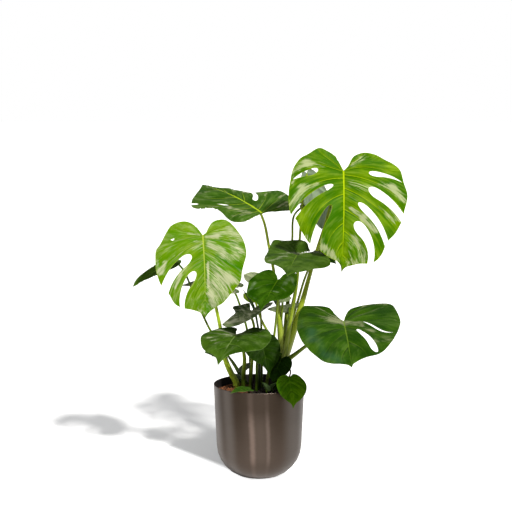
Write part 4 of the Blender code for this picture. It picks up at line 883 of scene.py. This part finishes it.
def tube(path, sides=20, groove=0.22, sheath=0.0, lumpy=0.0, young_and_lit=0.3):
    """A stalk with a shallow groove along its front, as points, faces and values."""
    path = np.array(path, float)
    line = np.vstack([path[:1], smooth_line(path[1:-1], TUBE_STEPS), path[-1:]])
    centre, radius = line[:, :3], line[:, 3]
    ahead = np.gradient(centre, axis=0)
    ahead /= np.linalg.norm(ahead, axis=1)[:, None]
    run = np.concatenate([[0], np.cumsum(np.linalg.norm(np.diff(centre, axis=0), axis=1))])
    turn = 2 * pi * np.arange(sides) / sides
    lip = np.exp(-((np.angle(np.exp(1j * (turn - 0.9))) / 0.5) ** 2))
    front = np.array([0.25, -1.0, 0.0])
    points = []
    for i in range(len(centre)):
        side = front - ahead[i] * (front @ ahead[i])
        side /= np.linalg.norm(side)
        other = np.cross(ahead[i], side)
        thick = radius[i] * (1 - groove * lip) * (1 + 0.03 * np.cos(3 * turn + run[i] * 0.02))
        if lumpy:
            thick = thick * (1 + lumpy * np.sin(run[i] * 0.9 + 2 * turn) * np.sin(run[i] * 0.37))
        x, y = np.cos(turn)[:, None], np.sin(turn)[:, None]
        points.append(centre[i] + x * side * thick[:, None] + y * other * thick[:, None])
    count = len(centre)
    value = {
        "turn_x": np.tile(np.cos(turn), count), "turn_y": np.tile(np.sin(turn), count),
        "along": np.repeat(run, sides), "lip": np.tile(lip, count),
        "young_and_lit": np.full(count * sides, young_and_lit),
        "sheath": np.repeat(sheath * np.clip(1 - run / SHEATH_LENGTH, 0, 1), sides),
    }
    last = (count - 1) * sides
    ends = [tuple(range(sides))[::-1], tuple(range(last, last + sides))]
    return np.vstack(points), ring_faces(count, sides) + ends, value


def ring_faces(rings, sides, start=0):
    """The quads between successive rings of points."""
    faces = []
    for i in range(rings - 1):
        for k in range(sides):
            a, b = start + i * sides + k, start + i * sides + (k + 1) % sides
            faces.append((a, b, b + sides, a + sides))
    return faces


def joined(pieces):
    """Several (points, faces, values) as one."""
    points, faces, value, start = [], [], {}, 0
    for p, f, v in pieces:
        points.append(p)
        faces += [tuple(i + start for i in face) for face in f]
        for key, numbers in v.items():
            value.setdefault(key, []).extend(numbers)
        start += len(p)
    return np.vstack(points), faces, value


def mesh_object(name, shape, material, sharp=50):
    """A smooth-shaded object from points in mm, faces and one float attribute a value."""
    points, faces, value = shape
    mesh = bpy.data.meshes.new(name)
    mesh.from_pydata((np.asarray(points) * MM).tolist(), [], [tuple(map(int, f)) for f in faces])
    mesh.validate()
    mesh.shade_smooth()
    mesh.set_sharp_from_angle(angle=radians(sharp))
    for key, numbers in value.items():
        layer = mesh.attributes.new(key, "FLOAT", "POINT")
        layer.data.foreach_set("value", np.asarray(numbers, np.float32))
    mesh.materials.append(material)
    obj = bpy.data.objects.new(name, mesh)
    bpy.context.scene.collection.objects.link(obj)
    return obj


def finish_piece(obj, node, slot):
    """Puts a fine piece on the frame's root body and hides the node that it stands for."""
    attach(obj, "root")
    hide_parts(node)


class Value:
    """An output of one of a material's nodes, with plain arithmetic."""

    def __init__(self, shader, socket):
        self.shader = shader
        self.socket = socket

    def __add__(self, other):
        return self.shader.math("ADD", self, other)

    def __sub__(self, other):
        return self.shader.math("SUBTRACT", self, other)

    def __mul__(self, other):
        return self.shader.math("MULTIPLY", self, other)

    def __abs__(self):
        return self.shader.math("ABSOLUTE", self)


class Shader:
    """Builds one material's nodes in few words."""

    def __init__(self, name):
        self.material = bpy.data.materials.new(name)
        self.material.use_nodes = True
        self.tree = self.material.node_tree
        self.surface = self.tree.nodes["Principled BSDF"]

    def new(self, kind):
        return self.tree.nodes.new("ShaderNode" + kind)

    def put(self, socket, value):
        """Links a value to a socket, or sets it to a number or a colour."""
        if isinstance(value, Value):
            self.tree.links.new(value.socket, socket)
        elif socket.type == "RGBA":
            socket.default_value = (*value, 1)
        else:
            socket.default_value = value

    def set(self, name, value):
        self.put(self.surface.inputs[name], value)

    def filled(self, node, values):
        """The node's first output, with its first inputs set to the values."""
        for socket, value in zip(node.inputs, values):
            self.put(socket, value)
        return Value(self, node.outputs[0])

    def attr(self, name):
        node = self.new("Attribute")
        node.attribute_name = name
        return Value(self, node.outputs["Fac"])

    def math(self, operation, *values, clamp=False):
        node = self.new("Math")
        node.operation = operation
        node.use_clamp = clamp
        return self.filled(node, values)

    def ramp(self, value, low, high, to_low=0.0, to_high=1.0, smooth=True):
        node = self.new("MapRange")
        node.interpolation_type = "SMOOTHSTEP" if smooth else "LINEAR"
        return self.filled(node, (value, low, high, to_low, to_high))

    def mix(self, share, a, b):
        node = self.new("Mix")
        node.data_type = "RGBA"
        for key, value in (("Factor", share), (6, a), (7, b)):
            self.put(node.inputs[key], value)
        return Value(self, node.outputs[2])

    def vector(self, *values):
        return self.filled(self.new("CombineXYZ"), values)

    def place(self):
        return Value(self, self.new("TexCoord").outputs["Object"])

    def split_place(self):
        node = self.new("SeparateXYZ")
        self.put(node.inputs[0], self.place())
        return [Value(self, output) for output in node.outputs]

    def noise(self, vector, scale, detail=2.0, rough=0.5):
        node = self.new("TexNoise")
        for key, value in (("Vector", vector), ("Scale", scale), ("Detail", detail),
                           ("Roughness", rough)):
            self.put(node.inputs[key], value)
        return Value(self, node.outputs["Fac"])

    def bump(self, height, strength, distance):
        node = self.new("Bump")
        for key, value in (("Strength", strength), ("Distance", distance), ("Height", height)):
            self.put(node.inputs[key], value)
        self.set("Normal", Value(self, node.outputs[0]))


def darker(colour, share):
    return tuple(share * c for c in colour)


def leaf_material(name, look):
    """Waxy blade: vein streaks, painted shade and light beside the veins, midrib, painted
    highlight and painted shade strokes, paler underside.
    """
    deep, light, vein, painted_sheen, shade, under = (tuple(c / 1000 for c in k) for k in look[:6])
    painted_haze, lateral, rim_share, cells, crisp = look[6:]
    m = Shader("leaf_" + name)
    place, gap, rib, rim, run, ahead, painted_sheen_weight, painted_shade_weight, top = (
        m.attr(k) for k in ("vein", "gap", "rib", "rim", "run", "ahead", "painted_sheen", "shade", "top"))

    # Main veins, with painted shade in a furrow on one side and painted light on a ridge on the
    # other, and finer veins between
    side = (place - m.math("ROUND", place)) * gap
    wide = m.ramp(run, 0.0, 0.9, 1.3, 0.2, smooth=False) * m.ramp(gap, 4, 30, 0.5, 1.0)
    main = m.ramp(abs(side), wide, wide * 0.25) * m.ramp(run, 0.02, 1.0, 1.0, 0.35)
    furrow = m.ramp(abs(side - wide * 2.2), wide * 2.0, 0.0)
    painted_ridge_light = m.ramp(abs(side + wide * 3.0), wide * 3.2, 0.0)
    fine = m.math("PINGPONG", place * 6.0, 0.5) * m.math("DIVIDE", gap, 6.0)
    fine = m.ramp(fine, 0.6, 0.1) * m.ramp(run, 0.05, 0.3)

    # The skin's own tones, in streaks that follow the veins, then painted light and shade beside
    # the veins and under the dark strokes
    broad = m.noise(m.vector(place * (cells * 0.45), run * 1.6, 0.0), 1.0, 4.0, 0.6)
    thin = m.noise(m.vector(place * cells, run * 3.5, 3.0), 1.0, 3.0, 0.65)
    patch = m.noise(m.place(), 22.0, 3.0)
    grain = m.noise(m.place(), 900.0, 2.0)
    tone = broad * 0.8 + patch * 0.7 + (thin - 0.5) * 0.35
    colour = m.mix(m.ramp(tone, 0.56, 1.05), deep, light)
    colour = m.mix(fine * (0.08 + 0.3 * lateral), colour, light)
    # Painted light on the ridge beside each main vein, painted shade in its furrow
    colour = m.mix(painted_ridge_light * (0.08 + 0.45 * lateral), colour, light)
    colour = m.mix(furrow * 0.55, colour, darker(deep, 0.55))
    # Painted shade where the dark strokes lie; on the green look a painted blue-grey reflection
    colour = m.mix(m.math("MULTIPLY", painted_shade_weight, 0.75, clamp=True), colour, shade)

    # Painted highlights: the light strokes, broken up by the streaks, and a thin painted haze
    painted_light = painted_sheen_weight + (thin - 0.5) * (2.4 * crisp) + (broad - 0.5) * (1.2 * crisp)
    painted_light = m.ramp(painted_light, 0.2, 0.95) * m.ramp(painted_sheen_weight, 0.04, 0.4, 0.0, 0.9)
    painted_haze_streaks = m.ramp(broad + thin * 0.8, 0.85, 1.15)
    painted_light = m.math("ADD", painted_light, painted_haze_streaks * painted_haze, clamp=True)
    colour = m.mix(painted_light, colour, painted_sheen)

    colour = m.mix(main * lateral, colour, vein)
    wide = m.ramp(ahead, 0.0, 0.95, 2.6, 0.5, smooth=False)
    spine = m.ramp(rib, wide, wide * 0.45) * m.ramp(ahead, -0.012, 0.0)
    colour = m.mix(spine * min(1.0, lateral + 0.45), colour, vein)
    colour = m.mix(m.ramp(rim, 1.5, 0.3) * rim_share, colour, vein)
    back = m.mix(m.ramp(tone, 0.5, 1.0), darker(under, 0.6), under)
    back = m.mix(m.math("MAXIMUM", main * 0.6, spine) * 0.6, back, vein)
    # The same painted shade on the underside
    back = m.mix(m.math("MULTIPLY", painted_shade_weight, 0.85, clamp=True), back, shade)
    m.set("Base Color", m.mix(top, back, colour))
    m.set("Roughness", m.ramp(grain, 0.2, 0.8, 0.36, 0.46) - painted_light * 0.1)
    m.set("Specular IOR Level", 0.02)
    m.set("Specular Tint", (0.75, 0.95, 0.45))
    m.bump(main * -0.6 + fine * -0.16 + thin * 0.5 + grain * 0.06, 0.35, 0.0012)
    return m.material


def stalk_material(name, deep, light, edge, rough=0.45):
    """Stalk skin: stripes along it, pale edges to its groove, a pale sheath low down, and painted
    shade low down on all but the palest stalks.
    """
    m = Shader(name)
    turn_x, turn_y, along, sheath, young_and_lit = (
        m.attr(k) for k in ("turn_x", "turn_y", "along", "sheath", "young_and_lit"))
    stripe = m.noise(m.vector(turn_x * 2.2, turn_y * 2.2, along * 0.01), 2.0, 3.0, 0.6)
    patch = m.noise(m.place(), 35.0, 2.0)
    colour = m.mix(m.ramp(stripe * 1.3 + patch * 0.4 + young_and_lit * 0.65, 0.75, 1.45), deep, light)
    # Painted shade low down, near the soil and the pot's rim
    low = m.ramp(m.split_place()[2], 0.29, 0.21) * m.ramp(young_and_lit, 0.8, 0.5)
    groove = m.ramp(abs(m.attr("lip") - 0.5), 0.2, 0.05)
    pale = m.math("MAXIMUM", groove * 0.5, sheath * m.ramp(stripe, 0.4, 0.6))
    colour = m.mix(pale * m.ramp(young_and_lit, 0.0, 0.8, 0.25, 1.0), colour, edge)
    m.set("Base Color", m.mix(low * 0.85, colour, darker(deep, 0.3)))
    m.set("Roughness", m.ramp(stripe, 0.3, 0.7, rough - 0.06, rough + 0.1))
    m.set("Specular IOR Level", 0.12)
    m.set("Specular Tint", (0.8, 0.95, 0.5))
    m.bump(stripe + patch * 0.3, 0.3, 0.0008)
    return m.material


def pot_material():
    """Brushed brown metal. Its painted reflections are in the colour, by angle and height: streaks
    of light, a light line at the foot and a highlight along the rim.
    """
    m = Shader("pot_metal")
    x, y, z = m.split_place()
    angle = m.math("ARCTAN2", x, y * -1.0)
    wobble = m.noise(m.vector(0.0, 0.0, z * 90.0), 1.0, 4.0)
    angle = angle + m.ramp(z, 0.08, 0.22, 0.0, 0.05) + (wobble - 0.5) * 0.04
    # The painted reflections fade towards the foot and the rim, save the share that reaches the
    # rim
    middle = m.ramp(z, 0.215, 0.13) * m.ramp(z, 0.032, 0.072)
    colour = m.mix(m.ramp(z, 0.04, 0.20), (0.066, 0.049, 0.039), (0.033, 0.023, 0.016))
    for centre, wide, share, tint, whole in POT_PAINTED_REFLECTIONS:
        painted_reflection = m.ramp(abs(angle - centre), wide, wide * 0.05) * share
        colour = m.mix(painted_reflection * m.math("MAXIMUM", middle, whole), colour, tint)
    # Painted reflection of the white floor: a lighter line along the foot
    colour = m.mix(m.ramp(z, 0.016, 0.004) * 0.6, colour, (0.10, 0.07, 0.055))
    # Painted highlight along the rim's top edge
    colour = m.mix(m.ramp(z, 0.2262, 0.2268), colour, (0.12, 0.095, 0.08))
    brush = m.noise(m.vector(angle * 3.0, 0.0, z * 2600.0), 1.0, 3.0, 0.7)
    m.set("Base Color", m.mix(m.ramp(brush, 0.35, 0.75, 0.0, 0.14), colour, (0.10, 0.08, 0.065)))
    m.set("Metallic", 1.0)
    m.set("Roughness", m.ramp(brush, 0.3, 0.7, 0.36, 0.48))
    m.set("Anisotropic", 0.4)
    m.bump(brush, 0.12, 0.0004)
    return m.material


def inside_material():
    """The pot's lining, painted near black for the shade inside the pot."""
    m = Shader("pot_inside")
    tone = m.noise(m.place(), 40.0, 3.0)
    dark = m.mix(m.ramp(tone, 0.3, 0.7), (0.004, 0.003, 0.003), (0.012, 0.009, 0.008))
    m.set("Base Color", dark)
    m.set("Roughness", m.ramp(tone, 0.3, 0.7, 0.5, 0.65))
    m.set("Specular IOR Level", 0.25)
    return m.material


def soil_material():
    """Reddish bark, painted near black on the right, where the soil lies in shade."""
    m = Shader("soil_bark")
    big = m.noise(m.place(), 90.0, 4.0, 0.65)
    small = m.noise(m.place(), 420.0, 4.0, 0.7)
    colour = m.mix(m.ramp(big, 0.35, 0.65), (0.022, 0.008, 0.004), (0.15, 0.050, 0.017))
    colour = m.mix(m.ramp(small, 0.5, 0.75, 0.0, 0.7), colour, (0.25, 0.105, 0.045))
    colour = m.mix(m.ramp(small, 0.45, 0.3, 0.0, 0.7), colour, (0.012, 0.006, 0.004))
    # Painted shade: near black to the right, where the soil lies in shade
    painted_shade_share = m.ramp(m.split_place()[0] + (big - 0.5) * 0.05, -0.045, -0.012)
    painted_shade_colour = m.mix(small, (0.002, 0.0015, 0.001), (0.016, 0.009, 0.006))
    m.set("Base Color", m.mix(painted_shade_share, colour, painted_shade_colour))
    m.set("Roughness", m.ramp(small, 0.3, 0.7, 0.8, 1.0))
    m.set("Specular IOR Level", 0.2)
    m.bump(big + small, 0.8, 0.002)
    return m.material


def build_pot():
    """The spun pot: finer profile, rolled rim, and a lining inside painted dark for its shade."""
    outer = pot_profile(0.0, 0.0)
    inner = pot_profile(WALL, FLOOR)
    half = WALL / 2
    edge = outer[-1][0]
    outside = [(0, 0)] + outer[:-1] + [(edge - 0.04, POT_HEIGHT - half - 2)]
    rim = [(edge - half + half * cos(a), POT_HEIGHT - half + half * sin(a))
           for a in np.linspace(0, pi, RIM_STEPS)]
    lining = [(inner[-1][0], POT_HEIGHT - half - 2)] + inner[-2::-1] + [(0, FLOOR)]
    profile = outside + rim + lining
    rings = profile[1:-1]
    angles = 2 * pi * np.arange(POT_SIDES) / POT_SIDES
    points = [(0, 0, 0)] + [(r * cos(a), r * sin(a), z) for r, z in rings for a in angles]
    top, last = len(points), len(points) - POT_SIDES
    points.append((0, 0, FLOOR))
    after = [(k + 1) % POT_SIDES for k in range(POT_SIDES)]
    faces = [(0, 1 + n, 1 + k) for k, n in enumerate(after)]
    faces += ring_faces(len(rings), POT_SIDES, 1)
    faces += [(last + k, last + n, top) for k, n in enumerate(after)]
    dark = [i // POT_SIDES >= len(outside) + RIM_STEPS - 2 for i in range(len(faces))]
    pot = mesh_object("pot_fine", (points, faces, {}), pot_material(), 60)
    pot.data.materials.append(inside_material())
    pot.data.polygons.foreach_set("material_index", np.array(dark, np.int32))
    finish_piece(pot, "pot", "pot")


def build_soil():
    """Lumpy bark compost: a height field to the wall, with loose chips sunk into it."""
    rng = np.random.default_rng(4)
    top = RIM_RADIUS - WALL_LEAN * SOIL_DROP / POT_HEIGHT - WALL - GAP
    radii = np.linspace(2.5, top, 42)
    points = [(0, 0, soil_level(0, 0))]
    for r in radii:
        for k in range(SOIL_SIDES):
            x, y = r * cos(2 * pi * k / SOIL_SIDES), r * sin(2 * pi * k / SOIL_SIDES)
            points.append((x, y, soil_level(x, y)))
    points = np.array(points)
    flat = points[:, :2]
    inside = np.clip((top - np.linalg.norm(flat, axis=1)) / 6, 0, 1)
    points[:, 2] += sum(height * lumps(flat, width, seed) * inside
                        for height, width, seed in SOIL_LUMPS)
    faces = [(0, 1 + k, 1 + (k + 1) % SOIL_SIDES) for k in range(SOIL_SIDES)]
    faces += [(a, d, c, b) for a, b, c, d in ring_faces(len(radii), SOIL_SIDES, 1)]
    base, last = len(points), len(points) - SOIL_SIDES
    under = POT_HEIGHT - SOIL_DROP - SKIRT
    skirt = np.array([(p[0], p[1], under) for p in points[last:]])
    skirt[:, :2] *= 0.985
    points = np.vstack([points, skirt, [(0, 0, under)]])
    for k in range(SOIL_SIDES):
        n = (k + 1) % SOIL_SIDES
        faces.append((last + k, base + k, base + n, last + n))
        faces.append((base + n, base + k, base + SOIL_SIDES))
    pieces = [(points, faces, {})]
    corner = np.array([(x, y, z) for x in (-1, 1) for y in (-1, 1) for z in (-1, 1)], float)
    box = [(0, 1, 3, 2), (4, 6, 7, 5), (0, 4, 5, 1), (2, 3, 7, 6), (0, 2, 6, 4), (1, 5, 7, 3)]
    for _ in range(CHIPS):
        r, a = (top - 6) * sqrt(rng.uniform(0, 1)), rng.uniform(0, 2 * pi)
        x, y = r * cos(a), r * sin(a)
        size = rng.uniform(*CHIP_SIZE)
        size = size * np.array([1.0, rng.uniform(0.5, 0.9), rng.uniform(0.3, 0.6)])
        chip = corner * size * rng.uniform(0.75, 1.2, (8, 3))
        turn = rng.uniform(0, 6.3)
        spin = np.array(Matrix.Rotation(turn, 3, Vector(rng.normal(size=3)).normalized()))
        chip = chip @ spin.T + [x, y, soil_level(x, y) + rng.uniform(0.2, 2.4)]
        pieces.append((chip, box, {}))
    finish_piece(mesh_object("soil_fine", joined(pieces), soil_material(), 35), "soil", "soil")


def build_stalks():
    """The stalks in the soil, the crown with its stalks as one piece, and the aerial root."""
    skins = {key: stalk_material(*row) for key, row in STALK_SKINS.items()}
    for name, path in STALKS.items():
        rolled = name == "leaf_rolled"
        shape = tube(stalk_path(name.replace("stalk_", "leaf_"), path),
                     groove=0.35 if rolled else 0.2, sheath=0.4, young_and_lit=YOUNG_AND_LIT.get(name, 0.15))
        # The left stalk gets the lighter copy, painted light for the shade it stands in
        skin = "rolled" if rolled else "bright" if name == "stalk_left" else "stalk"
        finish_piece(mesh_object(name + "_fine", shape, skins[skin]), name, "stalk")

    x, y, _, radius = CROWN_STOCK[0]
    soil = soil_level(x, y)
    stock = [(x, y, soil - HOLE_DEPTH + GAP, radius), (x, y, soil - 6, radius)] + CROWN_STOCK
    pieces = [tube([p for p in stock if not soil - 5 < p[2] < soil + 5], sides=32, young_and_lit=0.0)]
    for name, path in CROWN_STALKS.items():
        pieces.append(tube(path + under_blade(name, path[-1][3] * STALK_TAPER),
                           24 if path[0][3] > 8 else 18, sheath=1.0, young_and_lit=YOUNG_AND_LIT.get(name, 0.2)))
    crown = mesh_object("crown_fine", joined(pieces), skins["stalk"])
    finish_piece(crown, "crown_right", "stalk")
    shape = tube(AERIAL_ROOT + under_blade("leaf_over_rim", 1.6), 14, groove=0.1, lumpy=0.16)
    root = mesh_object("aerial_root_fine", shape, skins["root"])
    finish_piece(root, "aerial_root", "root")


def build_leaves():
    """A fine blade for each leaf, in its look."""
    looks = {name: leaf_material(name, look) for name, look in LOOKS.items()}
    for name, leaf in LEAVES.items():
        obj = mesh_object(name + "_fine", fine_blade(name, leaf), looks[leaf.look], 60)
        obj.visible_shadow = leaf.shadow
        finish_piece(obj, name, leaf.slot)


def build_floor():
    """A white sweep with painted light: it glows for the camera in front of and beside the pot, so
    only behind the pot a shadow shows.
    """
    m = Shader("floor_white")
    tone = m.ramp(m.noise(m.place(), 2.0), 0.3, 0.7)
    m.set("Base Color", m.mix(tone, (0.80,) * 3, (0.815,) * 3))
    m.set("Roughness", 0.9)
    m.set("Specular IOR Level", 0.0)
    x, y, _ = m.split_place()
    seen = Value(m, m.new("LightPath").outputs["Is Camera Ray"])
    # Painted light, for the camera only: the floor glows in front of the pot's shadow edge and
    # beside its front and right side, near the pot
    near = m.ramp(x * 0.796 + y * 0.608 + 0.022, 0.008, -0.025)
    painted_light = m.math("MAXIMUM", near, m.ramp(y - x * 1.2, 0.01, -0.03)) * seen
    round_pot = m.math("POWER", x, 2.0) + m.math("POWER", y, 2.0)
    painted_light = painted_light * m.ramp(round_pot, 0.17, 0.13)
    m.set("Emission Color", (1, 1, 1))
    m.set("Emission Strength", painted_light * FLOOR_GLOW + FLOOR_BASE_GLOW)
    mesh = bpy.data.meshes.new("floor")
    mesh.from_pydata([(x, y, FLOOR_LEVEL) for x, y in FLOOR_CORNERS], [], [(0, 1, 2, 3)])
    mesh.materials.append(m.material)
    floor = bpy.data.objects.new("floor", mesh)
    bpy.context.scene.collection.objects.link(floor)


def build_lights():
    """A white backdrop for the camera, a dimmer room for the plant, and the suns."""
    world = bpy.data.worlds.new("studio")
    bpy.context.scene.world = world
    world.use_nodes = True
    nodes, links = world.node_tree.nodes, world.node_tree.links
    room, white = nodes["Background"], nodes.new("ShaderNodeBackground")
    for light, colour, strength in ((room, (0.97, 0.98, 1.0, 1), ROOM_LIGHT),
                                    (white, (1, 1, 1, 1), 1.0)):
        light.inputs["Color"].default_value = colour
        light.inputs["Strength"].default_value = strength
    which = nodes.new("ShaderNodeMixShader")
    links.new(nodes.new("ShaderNodeLightPath").outputs["Is Camera Ray"], which.inputs[0])
    links.new(room.outputs[0], which.inputs[1])
    links.new(white.outputs[0], which.inputs[2])
    links.new(which.outputs[0], nodes["World Output"].inputs["Surface"])
    for name, strength, soft, towards, colour in SUNS:
        lamp = bpy.data.lights.new(name, "SUN")
        lamp.energy = strength
        lamp.angle = radians(soft)
        lamp.color = colour
        sun = bpy.data.objects.new(name, lamp)
        sun.rotation_euler = Vector(towards).to_track_quat("-Z", "Y").to_euler()
        bpy.context.scene.collection.objects.link(sun)


def build_camera():
    """The picture's view, from the front and slightly above."""
    camera = bpy.data.cameras.new("camera")
    camera.lens = LENS
    camera.sensor_width = SENSOR
    camera.clip_end = FAR
    eye = bpy.data.objects.new("camera", camera)
    eye.location = EYE
    eye.rotation_euler = (radians(90 - DOWN), 0, 0)
    scene = bpy.context.scene
    scene.collection.objects.link(eye)
    scene.camera = eye
    scene.view_settings.view_transform = "Standard"
    scene.view_settings.look = "None"


def main():
    build_pot()
    build_soil()
    build_stalks()
    build_leaves()
    build_floor()
    build_lights()
    build_camera()
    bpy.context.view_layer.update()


main()
